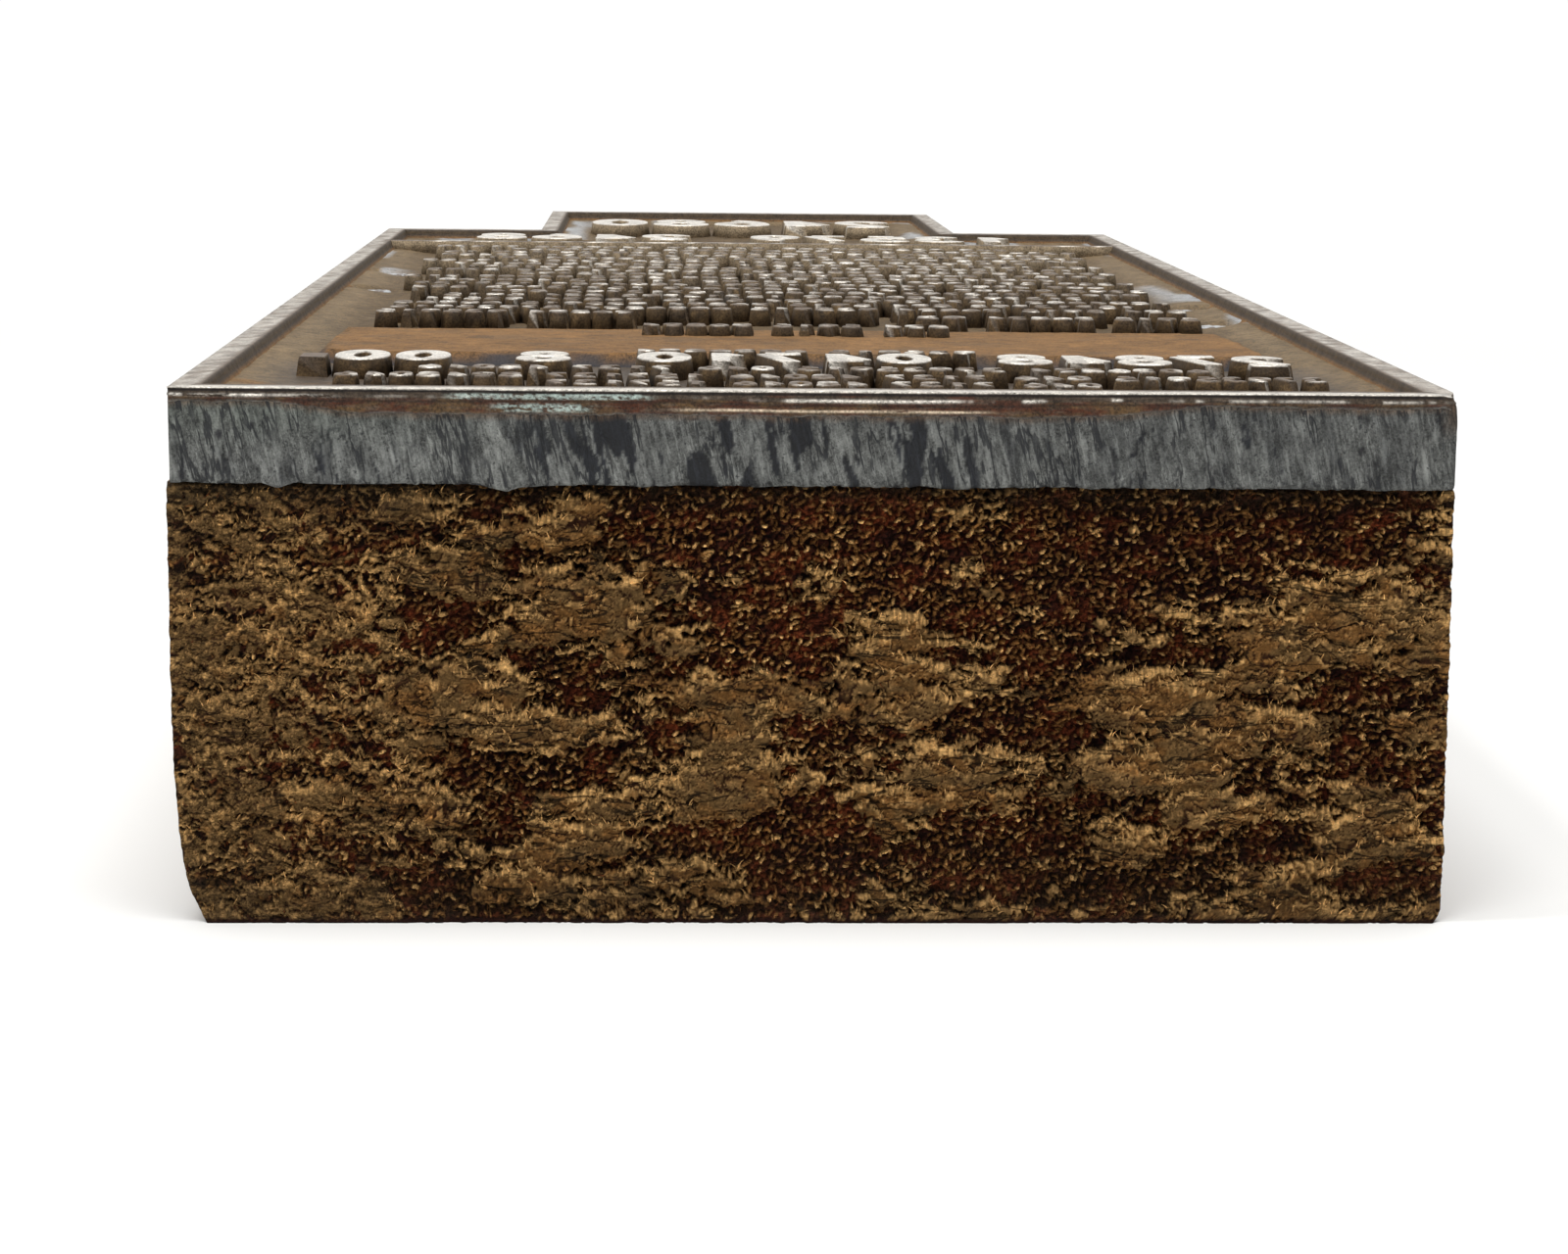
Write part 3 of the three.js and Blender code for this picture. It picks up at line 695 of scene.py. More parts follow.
def torn_field(x, z, step, seed, hollows):
    """The torn end grain as depths into the wood, with the parts that its colours need.

    Summed noise, bent sideways and jagged along the fibres, splits the face into smeared plates and
    torn pits. Plates are layers like shingles, each leaning out towards its upper edge. Pits are
    lower and full of crumbs. Pale broken fibres hang along the edges where the layer above is gone.
    At the left the face is calm, with small scales in place of large pits.
    """
    noise = patches(x, z, seed)
    calm = smooth(-13.0, -21.0, x + 2.5 * noise(3.0, 3.0, 1, 2))
    jag = 0.17 * noise(0.15, 1.1, 2, 2) + 0.12 * noise(0.5, 0.8, 3, 2)
    u = x + 0.7 * noise(1.6, 1.1, 4, 3)
    v = z + 0.45 * noise(1.3, 0.9, 5, 3) + jag
    bent = patches(u, v, seed)
    main = bent(GRAIN_WIDTH, GRAIN_HEIGHT, 0, 1)
    middle = bent(1.15, 0.5, 7, 4)
    small = bent(0.45, 0.22, 20, 3)
    field = 0.05 + 0.72 * main * (1 - 0.6 * calm) - torn_weight(x, z, hollows)
    field = field + 0.60 * middle * (1 - 0.2 * calm) + (0.48 + 0.4 * calm) * small
    plate = smooth(-0.05, 0.05, field)
    wide = (v / 1.15 + 1.5 * bent(2.2, 1.3, 8, 3)) % 1
    fine = (v / 0.32 + 1.5 * bent(0.6, 0.35, 9, 3)) % 1
    bend = 0.16 * noise(0.3, 0.25, 10, 3)
    lumps, chance = flakes(x + bend, z + 0.7 * bend, 0.21, seed + 11)
    dome = np.clip(1 - (lumps / 0.95) ** 2, 0, 1)
    level = 0.22 - 0.28 * np.clip(field, 0, 0.6) + 0.15 * (1 - wide) + 0.08 * (1 - fine)
    level = level + 0.03 * (1 - dome) + 0.035 * noise(0.16, 0.16, 12, 2)
    hollow = 0.78 + 0.30 * np.clip(-field, 0, 1) + 0.20 * noise(1.0, 0.6, 13, 2)
    hollow = hollow - dome * (0.12 + 0.50 * chance**2) + 0.07 * noise(0.15, 0.2, 14, 2)
    depth = level * plate + hollow * (1 - 0.35 * calm) * (1 - plate)
    shadow = np.zeros_like(depth)
    for k in range(1, int(SHADOW_REACH / step) + 1):
        shadow = np.maximum(shadow, np.roll(plate, k, axis=0) * (1 - plate))
    fringe = np.zeros_like(depth)
    length = 0.14 + 0.40 * value_noise(x / 0.7, z / 0.5, seed + 15)
    length = length + 0.12 * noise(0.12, 3.0, 16, 1)
    for k in range(1, int(FRINGE_REACH / step) + 1):
        above = np.roll(plate, -k, axis=0)
        above[-k:] = 1
        drop = np.roll(depth, -k, axis=0) - depth
        drop[-k:] = 0
        open_edge = plate * (1 - above) + 0.7 * smooth(0.08, 0.16, drop) * plate * above
        fringe = np.maximum(fringe, open_edge * (k * step < length))
    fringe = fringe * smooth(0.22, 0.5, value_noise(x / 1.6, z / 0.8, seed + 17)) * (1 - 0.5 * calm)
    streak = noise(0.085, 0.6, 18, 2)
    parts = SimpleNamespace(
        plate=plate, fringe=fringe, streak=streak, wide=wide, fine=fine, shadow=shadow,
        dome=dome, chance=chance, calm=calm, middle=middle,
    )
    return depth - fringe * 0.05 * streak, parts


def grain_tint(x, z, parts, colours, seed):
    """Colours of the torn grain: mottled plates with dark cracks and a painted shadow under their
    edges, crumbs in red-brown pits painted lit in their middles, pale fibres, darker bands at the foot,
    under the metal and at the left edge, and a painted contact shadow along the very foot."""
    brown, olive, pale, dark, red = (
        np.array(getattr(colours, name))
        for name in ("plate_brown", "plate_olive", "fringe_light", "pit_dark", "pit_red")
    )
    calm = parts.calm
    noise = patches(x, z, seed)
    mottle = noise(1.2, 0.8, 31, 4)
    speck = noise(0.14, 0.12, 32, 2)
    body = blend(brown, olive, smooth(-0.3, 0.3, mottle + 0.4 * calm))
    body = shaded(body, 1.04 + 0.30 * speck + 0.25 * mottle)
    body = shaded(body, 1 + 0.8 * smooth(0.68, 0.95, parts.fine) * (speck > -0.2))
    body = shaded(body, 1 + 0.6 * smooth(0.82, 0.97, parts.wide))
    crack = smooth(0.26, 0.10, parts.fine) * smooth(-0.3, 0.1, parts.middle + 0.4 * speck)
    body = blend(body, dark, 0.92 * np.maximum(crack, smooth(0.14, 0.04, parts.wide)))
    pit = blend(dark, red, smooth(-0.2, 0.5, noise(1.3, 0.8, 33)))
    tan = smooth(-0.2, 0.5, noise(2.0, 1.2, 34))
    flake = smooth(0.48 - 0.27 * tan, 0.83, parts.chance) * smooth(0.15, 0.5, parts.dome)
    flake_tone = blend(brown * 1.25, pale * 0.8, smooth(0.88, 0.96, parts.chance))
    lit = (0.3 + 0.95 * parts.dome) * (1 + 0.30 * band(x, -9.0, 8.0, 3.0))
    pit = shaded(blend(pit, flake_tone, 0.92 * flake), lit)
    fibres = blend(pale * 0.4, pale, smooth(-0.3, 0.3, parts.streak))
    tint = painted(pit, (body, parts.plate), (fibres, np.clip(parts.fringe, 0, 1) * 0.95))
    tint = shaded(tint, (1 - 0.75 * parts.shadow) * (1 + 0.10 * calm))
    # Darker towards the foot, just under the metal and at the left edge
    darker_bands = smooth(4.5, 0.5, z) * 0.35 + smooth(WOOD_TOP - 1.6, WOOD_TOP, z) * 0.5
    darker_bands = darker_bands + smooth(-22.0, -27.0, x) * 0.2
    darker_bands = darker_bands + smooth(WOOD_TOP - 3.2, WOOD_TOP - 1.0, z) * smooth(-12.0, -18.0, x) * 0.22
    # Painted contact shadow: the lowest quarter millimetre of the grain turns near-black where the
    # block meets the floor
    foot = smooth(0.26, 0.08, z + 0.05 * speck)
    tint = painted(tint, (DARKER_BANDS_TONE, np.clip(darker_bands, 0, 0.75)), (dark * 0.5, foot))
    flaky = 0.27 + 0.43 * calm + (0.73 - 0.43 * calm) * (1 - parts.plate)
    return np.concatenate([np.clip(tint, 0, 1), flaky[..., None]], -1)


def grain_end(name, face, inward, step, seed, hollows, shares, materials, colours):
    """One end of the board: the torn face, cut into a few pieces side by side, with the edges behind
    it and flat backs that meet the board. It gives back the face's points and its field's parts."""
    columns = int(2 * HALF_WIDTH / step) + 1
    rows = int(WOOD_TOP / step) + 1
    u, v = np.meshgrid(np.linspace(0, 1, columns), np.linspace(0, 1, rows))
    z = WOOD_TOP * v
    grain_x = inward * (2 * u - 1) * HALF_WIDTH
    depth, parts = torn_field(grain_x, z, step, seed, hollows)
    tint = grain_tint(grain_x, z, parts, colours, seed)
    left, right = board_edges(z, face + 0 * z)
    x = left + u * (right - left)
    edge = np.minimum(x - left, right - x)
    depth = depth * (1 - 0.7 * np.exp(-edge / 0.5)) * (1 - 0.8 * np.exp(-z / 0.45))
    depth = depth + 0.06 * np.exp(-edge / 0.1) + 0.35 * np.exp(-(WOOD_TOP - z) / 0.10)
    depth = depth - 0.14 * np.exp(-z / 0.12)
    y = face + inward * np.clip(depth, -0.1, 1.3)
    points = np.stack([x, y, z], -1)
    cuts = np.linspace(0, columns - 1, shares + 1).astype(int)
    for k, (first, last) in enumerate(zip(cuts, cuts[1:])):
        part = (slice(None), slice(first, last + 1))
        work = Patchwork()
        grain_slice(work, points[part], tint[part], face, inward)
        piece = work.make(f"{name}_{k + 1}", materials, ["wood_mount"])
    return points, parts


def grain_slice(work, points, tint, face, inward):
    """A slice of the board's end: its torn grid, a ragged rim straight back from it, and behind that
    planed sides and a flat back."""
    rows, columns = points.shape[:2]
    points = points.reshape(-1, 3)
    tint = tint.reshape(-1, 4)
    rim = rim_of(rows, columns)
    border = points[rim]
    ragged = 0.5 + 0.2 * cloud(border[:, 2] / 0.4, border[:, 0] / 0.4, 19, 3)
    rings = [points]
    for reach in (np.maximum(inward * (border[:, 1] - face) + 0.1, ragged), END_DEPTH):
        ring = border.copy()
        ring[:, 1] = face + inward * reach
        rings.append(ring)
    n = len(rim)
    total = len(points)
    k = np.arange(n)
    after = (k + 1) % n
    lip = np.stack([rim, total + k, total + after, rim[after]], -1)
    wall = np.stack([total + k, total + n + k, total + n + after, total + after], -1)
    back = (total + n + k[::-1])[None, :]
    faces = [grid_faces(rows, columns), lip, wall, back]
    if inward < 0:
        faces = [block[:, ::-1] for block in faces]
    tints = np.concatenate([tint, tint[rim], tint[rim]])
    work.add(np.concatenate(rings), faces, tints, (0, 0, 1, 1), flat=(1, 2, 3))


def board_body(materials, colours):
    """The board between its two ends: its section carried along, with faint waves from the plane."""
    heights = WOOD_TOP * np.linspace(0, 1, 61) ** 1.7
    y = np.linspace(FRONT + END_DEPTH, FAR - END_DEPTH, 260)
    across = np.linspace(0, 1, 40)[1:-1]
    z, along = np.meshgrid(heights, y)
    left, right = board_edges(z, FRONT + (along - y[0]) * LENGTH / (y[-1] - y[0]))
    wave_out = 0.03 * cloud(along / 9, z / 2.5, 61)
    left_wall = np.stack([left + wave_out, along, z], -1)[:, ::-1]
    right_wall = np.stack([right + wave_out, along, z], -1)
    low = left[:, :1] + (right[:, :1] - left[:, :1]) * across
    high = right[:, -1:] + (left[:, -1:] - right[:, -1:]) * across
    flat = np.broadcast_to(y[:, None], low.shape)
    bottom = np.stack([low, flat, 0.0 * low], -1)
    top = np.stack([high, flat, 0.0 * high + WOOD_TOP], -1)
    section = np.concatenate([left_wall, bottom, right_wall, top], 1)
    rows, columns = section.shape[:2]
    faces = [grid_faces(rows, columns, closed_columns=True), *end_caps(rows, columns)]
    work = Patchwork()
    faces = [block[:, ::-1] for block in faces]
    work.add(section, faces, (*colours.board_light, 1), flat=(1, 2))
    piece = work.make("wood_board", materials, ["wood_mount"])


def fibre_strands(name, sheet, inward, count, seed, material, colours):
    """Loose fibres: three-sided slivers that taper to a point and curl, rooted on the torn face.

    Each strand's middle line is its root plus its direction times the length run, plus a sideways
    curl that grows with the square of the length run.
    """
    rng = np.random.default_rng(seed)
    points, parts = sheet
    points = points.reshape(-1, 3)
    fringe = parts.fringe.ravel()
    weight = (1 - parts.plate.ravel()) * 0.35 + (fringe > 0.35) * 1.6 + 0.03
    x, _, z = points.T
    weight = weight * ((z > 0.25) & (z < WOOD_TOP - 0.2) & (np.abs(x) < HALF_WIDTH - 0.4))
    pick = rng.choice(weight.size, count, p=weight / weight.sum())
    on_edge = fringe[pick] > 0.35
    angle = np.where(on_edge, rng.normal(math.pi / 2, 0.35, count), rng.uniform(0, 2 * math.pi, count))
    length = np.where(on_edge, rng.uniform(0.12, 0.40, count), rng.uniform(0.12, 0.38, count))
    out = np.where(on_edge, rng.uniform(0.1, 0.5, count), rng.uniform(0.05, 0.6, count))
    width = rng.uniform(0.025, 0.055, count)
    along = np.stack([np.cos(angle), -inward * out, np.sin(angle)], -1)
    along = along / np.linalg.norm(along, axis=1, keepdims=True)
    across = np.stack([-np.sin(angle), 0 * angle, np.cos(angle)], -1)
    toward = np.cross(along, across)
    curl = rng.normal(0, 0.5, count)[:, None, None]
    steps = np.linspace(0, 1, STRAND_RINGS)
    run = steps[None, :, None] * length[:, None, None]
    middle = points[pick][:, None] + along[:, None] * run
    middle = middle + across[:, None] * (curl * run**2 / length[:, None, None])
    thin = (width[:, None] * (1 - 0.85 * steps[None, :]))[:, :, None, None]
    turn = (np.arange(STRAND_SIDES) * 2 * math.pi / STRAND_SIDES)[None, None, :, None]
    ring = np.cos(turn) * across[:, None, None] + np.sin(turn) * toward[:, None, None]
    each = STRAND_RINGS * STRAND_SIDES
    offset = (np.arange(count) * each)[:, None, None]
    sides = (grid_faces(STRAND_RINGS, STRAND_SIDES, closed_columns=True)[None] + offset).reshape(-1, 4)
    caps = np.concatenate(end_caps(STRAND_RINGS, STRAND_SIDES))[None] + offset
    caps = caps.reshape(-1, STRAND_SIDES)
    share = rng.uniform(0, 1, count)
    brown = np.array(colours.plate_brown)
    pale = blend(brown * 0.9, colours.fringe_light, share)
    dull = blend(colours.pit_red, brown, share)
    tint = np.where(on_edge[:, None], pale, dull)
    tint = np.repeat(np.concatenate([tint, np.ones((count, 1))], 1), each, axis=0)
    work = Patchwork()
    work.add(middle[:, :, None] + thin * ring, [sides, caps], tint)
    piece = work.make(name, [material], ["wood_mount"])


# The cast metal

def wear_corner(points):
    """Rounds the near right corner off, most of all at the top."""
    reach = np.hypot(points[..., 0] - HALF_WIDTH, points[..., 1] - FRONT)
    worn = np.exp(-((reach / 0.6) ** 2)) * np.exp((points[..., 2] - TYPE_HEIGHT) / 0.35)
    points[..., 0] -= 0.34 * worn
    points[..., 2] -= 0.10 * worn**2


def chatter(s, z, seed):
    """Saw chatter on a cut face: upright ridges that lean, uneven in pitch and depth."""
    lean = s + LEAN * z
    ridges = 1 - np.abs(cloud(lean / 0.34, z / 3.5, seed, 3))
    coarse = cloud(lean / 1.1, z / 2.0, seed + 5, 3)
    return 0.045 * (ridges - 0.8) + 0.03 * coarse


def walled_slab(work, outline, normal, low, high, rows, pocket=None):
    """A slab whose wall follows an outline (n, 2) with outward normals (n, 2), pushed by the chatter
    and drawn in at its ragged foot. A pocket is the rim's inner outline and the level of its floor."""
    run = distance_run(outline)
    v = np.linspace(0, 1, rows)[:, None]
    foot = ragged_foot(outline, run)
    z = low + (high - low) * v + foot * (1 - v) ** 3
    push = chatter(outline[:, 0] + 0.37 * outline[:, 1], z, 71)
    push = push - 0.10 * np.exp(-(z - low - foot) / 0.08)
    points = np.stack([outline[:, 0] + normal[:, 0] * push, outline[:, 1] + normal[:, 1] * push, z], -1)
    if pocket is not None:
        inner, floor = pocket
        rings = [np.column_stack([inner, np.full(len(inner), level)]) for level in (high, floor)]
        points = np.concatenate([points, rings])
    wear_corner(points)
    rows, columns = points.shape[:2]
    faces = [grid_faces(rows, columns, closed_columns=True), *end_caps(rows, columns)]
    work.add(points, faces, metal_tint(points).reshape(-1, 4), flat=(1, 2))


def distance_run(path):
    """The distance along a closed path from its start to each of its points."""
    gaps = np.linalg.norm(np.roll(path, -1, axis=0) - path, axis=1)
    return np.concatenate([[0], np.cumsum(gaps)[:-1]])


def dense_path(corners, steps):
    """Points along a closed outline of corners, each side cut into steps of about its own length."""
    points = []
    normals = []
    for k, (a, b) in enumerate(zip(corners, np.roll(corners, -1, axis=0))):
        side = b - a
        length = np.linalg.norm(side)
        count = max(int(length / steps[k]), 1)
        t = np.arange(count)[:, None] / count
        points.append(a + side * t)
        normals.append(np.broadcast_to(np.array([side[1], -side[0]]) / length, (count, 2)))
    return np.concatenate(points), np.concatenate(normals)


def label_corners(inset=0.0):
    """The label's eight corners, anticlockwise from the near left, drawn in by an inset."""
    x = HALF_WIDTH - inset
    tab = TAB_HALF - inset
    near = FRONT + inset
    shoulder = SHOULDER - inset
    far = FAR - inset
    return np.array([
        (-x, near), (x, near), (x, shoulder), (tab, shoulder),
        (tab, far), (-tab, far), (-tab, shoulder), (-x, shoulder),
    ])


def inset_path(inset, steps):
    """The label's outline drawn in, with as many points on each side as dense_path gives it."""
    corners = label_corners()
    inner = label_corners(inset)
    points = []
    for k in range(len(corners)):
        after = (k + 1) % len(corners)
        count = max(int(np.linalg.norm(corners[after] - corners[k]) / steps[k]), 1)
        share = np.arange(count)[:, None] / count
        points.append(inner[k] * (1 - share) + inner[after] * share)
    return np.concatenate(points)


def metal_tint(points):
    """Grey with darker blooms, dark smears that lean and fine splits, paler and green at the left. The
    front has black pits, one crack, and rust under the copper and at the near right corner."""
    x, y, z = np.moveaxis(points, -1, 0)
    run = x + y + LEAN * z
    leaning = patches(run, z)
    noise = patches(x, z)
    tone = 0.5 + 0.5 * leaning(2.2, 1.8, 81, 5)
    lines = smooth(-0.1, 0.5, leaning(0.22, 1.6, 87, 4))
    patchy = 0.25 + 0.75 * smooth(13.5, 7.0, np.abs(x + 2.5)) * (np.abs(y - FRONT) < 1)
    dark = smooth(0.15, 0.22, leaning(0.60, 2.4, 83, 4)) * patchy
    split = np.abs(patches(run + 0.12 * noise(0.2, 0.3, 88, 2), z)(0.9, 4.0, 86, 2))
    split = smooth(0.045, 0.01, split) * smooth(-0.1, 0.3, leaning(2.0, 1.5, 90, 2))
    share = np.clip(0.4 * tone + 0.2 * lines + 0.95 * dark + 0.8 * split - 0.07, 0, 1)
    tint = shaded(blend(METAL_LIGHT, METAL_DARK, share), 1 + 0.22 * smooth(-8.0, -15.0, x))
    tint = blend(tint, METAL_GREEN, smooth(-8, -24, x) * smooth(WOOD_TOP + 0.8, RIM_TOP, z) * 0.5)
    front = y < FRONT + 0.5
    for place, down, radius in METAL_PITS:
        reach = np.hypot(x - place, (z - TYPE_HEIGHT + down) / 1.4)
        tint = blend(tint, METAL_PIT, smooth(radius, radius * 0.5, reach) * front)
    below = TYPE_HEIGHT - z - rust_limit(x) - 0.10 * noise(0.3, 0.3, 84, 3)
    corner = smooth(0.9, 0.2, HALF_WIDTH - x) * smooth(TYPE_HEIGHT - 2.2, TYPE_HEIGHT - 1.0, z)
    crack = np.abs(x - CRACK_PLACE - 0.05 * wave(z / 0.2, 85)) < 0.05
    tint = painted(
        tint,
        (METAL_RUST, 0.7 * smooth(0.30, -0.05, below) * front),
        (np.array(METAL_RUST) * 0.5, 0.8 * corner * front),
        (METAL_CRACK, (crack & (z < WOOD_TOP + 0.7) & front) * 0.9),
    )
    return np.concatenate([tint, np.ones(tint.shape[:-1] + (1,))], -1)


def ragged_foot(outline, run):
    """The cast edge over the wood: wavy, with small runs of metal at the front."""
    foot = 0.05 * wave(run / 1.4, 91) + 0.06 * wave(run / 0.28, 93, 2)
    at_front = outline[:, 1] < FRONT + 0.2
    for place, drop, width in METAL_RUNS:
        foot = foot - at_front * drop * np.exp(-(((outline[:, 0] - place) / width) ** 2))
    return foot


def backing_plate(material):
    """The metal behind the copper: the label's part in full height, with a pocket for the copper, and
    the two lower corners beside the tab."""
    work = Patchwork()
    outline, normal = dense_path(label_corners(), PLATE_STEPS)
    pocket = (inset_path(PLATE_RIM, PLATE_STEPS), POCKET_FLOOR)
    walled_slab(work, outline, normal, WOOD_TOP, RIM_TOP, WALL_ROWS, pocket)
    for side in (-1, 1):
        left, right = sorted((side * TAB_HALF, side * HALF_WIDTH))
        corners = np.array([(left, SHOULDER), (right, SHOULDER), (right, FAR), (left, FAR)])
        outline, normal = dense_path(corners, SHOULDER_STEPS)
        walled_slab(work, outline, normal, WOOD_TOP, ROUT_FLOOR, SHOULDER_ROWS)
    piece = work.make("type_metal_plate", [material], ["backing_plate"])


def routed_shoulders(material):
    """The two corners beside the tab, cut down by a router whose passes left overlapping arcs, with a
    dent round each nail."""
    work = Patchwork()
    x = np.linspace(TAB_HALF - 0.02, HALF_WIDTH - 0.08, 70)
    y = np.linspace(SHOULDER - 0.02, FAR - 0.08, 150)
    x, y = np.meshgrid(x, y)
    swing = np.hypot(x - TAB_HALF + 6.0 * np.sin(y / 5.0), y - SHOULDER - 4.0)
    passes = np.abs(((swing / 2.1) % 1.0) - 0.5)
    for side in (-1, 1):
        z = ROUT_FLOOR + 0.03 + 0.10 * passes + 0.02 * cloud(x / 0.4, y / 0.4, 101 + side)
        for share in SHOULDER_NAILS:
            reach = np.hypot(x - SHOULDER_NAIL_X, y - SHOULDER - share * TAB_LENGTH)
            z = z - 0.12 * smooth(NAIL_HEAD + 0.45, NAIL_HEAD + 0.1, reach)
        points = np.stack([side * x, y, z], -1)
        tint = metal_tint(points + (0, SHOULDER_SHIFT, 0)) * (1.25, 1.25, 1.25, 1)
        closed_sheet(work, points, tint, ROUT_FLOOR - 0.3, flip=side < 0)
    piece = work.make("routed_shoulders", [material], ["backing_plate"])


# The copper face

def copper_tints(colours):
    """Colours of the copper with their roughness as the fourth number."""
    shades = {
        "wall": (colours.copper_wall, 0.70), "floor": (colours.copper_floor, 0.70),
        "amber": (colours.copper_amber, 0.80), "red": (colours.copper_red, 0.55),
        "rust": (colours.copper_rust, 0.65), "umber": (colours.copper_umber, 0.70),
        "dust": (colours.copper_dust, 0.75), "gold": (colours.copper_gold, 0.36),
        "green": (colours.copper_green, 0.6), "top": (colours.rule_dull, 0.55),
        # The near-black ink tint is only used as painted shadow at the foot of the blank
        "pale": (colours.rule_bright, 0.34), "ink": ((0.014, 0.014, 0.018), 0.6),
        "black": ((0.012, 0.009, 0.008), 0.7), "lead": ((0.11, 0.108, 0.10), 0.6),
        "steel": ((0.36, 0.39, 0.42), 0.3),
    }
    rows = {name: np.array((*tone, rough)) for name, (tone, rough) in shades.items()}
    return SimpleNamespace(**rows)


def rust_limit(x):
    """Depth under the top where the rust on the front edge ends, at places x across the block."""
    ragged = 0.08 * wave(x / 1.4, 117, 3) + 0.05 * wave(x / 0.25, 118, 2)
    return 0.62 + 0.48 * band(x, -21.5, 14.0, 2.5) + ragged


def cut_edge(x, deep, at_front, tints):
    """How far the copper's cut edge stands out, and what covers it, at places x across the block and
    depths under the top.

    At the front it has a bead along the top, then a hollow painted black as shade, a broken bright
    ridge with a band of painted shade under it, a second ridge in the middle of the block, and rust
    that frays out over the metal.
    """
    noise = patches(x, deep)
    grit = noise(0.16, 0.08, 111, 3)
    scratch = noise(0.9, 0.07, 112, 3)
    first = 0.32 + 0.10 * band(x, -4.0, 10.0, 2.0) + 0.04 * wave(x / 4.0, 113, 2)
    second = 0.85 + 0.03 * wave(x / 3.0, 114, 2)
    bright = np.maximum(smooth(-0.05, 0.25, wave(x / 0.9, 115, 3)), band(x, -1.3, 6.1, 0.4))
    bright = bright * (1 - 0.8 * band(x, -19.5, -2.0, 1.0)) * (1 - 0.45 * smooth(11.0, 14.0, x))
    bright = np.maximum(bright, 0.5 * band(x, -26.5, -20.5, 0.8) * (scratch > -0.2))
    upper = np.exp(-(((deep - first) / 0.06) ** 2)) * at_front
    lower = np.exp(-(((deep - second) / 0.05) ** 2)) * band(x, -5.7, 7.0, 1.0) * at_front
    bead = np.exp(-((deep / 0.05) ** 2)) * at_front
    lip = 0.10 * at_front * smooth(0.0, 0.10, rust_limit(x) - deep)
    lip = lip * band(x, 0.6 - HALF_WIDTH, HALF_WIDTH - 0.8, 0.5)
    out = 0.06 * upper * (0.4 + 0.6 * bright) + 0.06 * lower + 0.03 * bead + lip + 0.02 * grit
    rust = blend(tints.rust, tints.red, smooth(-0.3, 0.3, noise(1.1, 0.3, 119, 3)))
    rusty = smooth(first + 0.02, first + 0.14, deep) * (0.6 + 0.4 * (grit > -0.1))
    tint = blend(tints.umber, rust, rusty)
    red = band(x, -2.5, 9.5, 2.0) * smooth(0.0, 0.3, noise(1.5, 0.2, 121, 3))
    shade = band(deep, first + 0.15, first + 0.26, 0.04)
    crust = band(x, -15.4, -7.2, 0.6) * band(deep, 0.19, 0.43, 0.03)
    crust = np.maximum(crust, band(x, -13.6, -9.6, 0.5) * band(deep, 0.62, 0.95, 0.08))
    glow = upper * bright * smooth(-0.5, 0.0, grit + 0.3)
    bead_foot = 0.045 + 0.035 * band(x, -13.0, 13.0, 1.5)
    hollow = smooth(bead_foot - 0.01, bead_foot + 0.03, deep)
    hollow = hollow * smooth(bead_foot + 0.15, bead_foot + 0.09, deep)
    fray = smooth(-0.16, 0.02, deep - rust_limit(x) + 0.05 * grit)
    return out, painted(
        tint,
        (tints.red, 0.8 * red * at_front),
        (tints.top, 0.55 * smooth(0.15, 0.5, scratch) * at_front),
        (tints.black, 0.55 * shade * at_front),
        (tints.green, crust * smooth(-0.35, 0.1, grit + 0.5 * scratch) * at_front),
        (tints.pale, np.clip(1.2 * glow, 0, 1)),
        (tints.gold, np.clip(lower * smooth(-0.4, 0.1, scratch + 0.3), 0, 1)),
        # Painted shade: the hollow under the bead is painted near-black
        (tints.black, 0.95 * hollow * at_front),
        (tints.pale, smooth(bead_foot + 0.01, bead_foot - 0.015, deep) * at_front),
        (tints.umber, 0.75 * smooth(HALF_WIDTH - 0.9, HALF_WIDTH - 0.2, x) * at_front),
        (tints.lead, 0.85 * fray * at_front),
    )


def rule_section(at_front, run):
    """The frame rule's top and inner side: an inset, a drop under type height and a tint's name for
    each line of points along the path."""
    rough = wave(run / 0.5, 123, 3)
    chips = wave(run / 0.25, 124, 2)
    side = RULE_WIDTH + WALL_FLARE
    return (
        (-0.06 * at_front, 0.004, "pale"),
        (0.06, 0, "pale"),
        (0.35, 0, "pale"),
        (0.60, 0, "pale"),
        (0.95, 0, "pale"),
        (RULE_WIDTH - 0.12 + 0.02 * rough, 0, "top"),
        (RULE_WIDTH - 0.04 + 0.03 * chips, 0.01, "umber"),
        (RULE_WIDTH + 0.02 * rough, 0.05, "umber"),
        (RULE_WIDTH + 0.06 + 0.04 * rough, 0.22 - 0.02 * chips, "wall"),
        (RULE_WIDTH + 0.11 + 0.04 * chips, 0.40, "umber"),
        (side + 0.05 + 0.03 * rough, MARGIN_DEPTH + 0.02, "amber"),
        (side + 0.6, MARGIN_DEPTH + 0.35, "floor"),
        (RULE_WIDTH, MARGIN_DEPTH + 0.45, "floor"),
    )


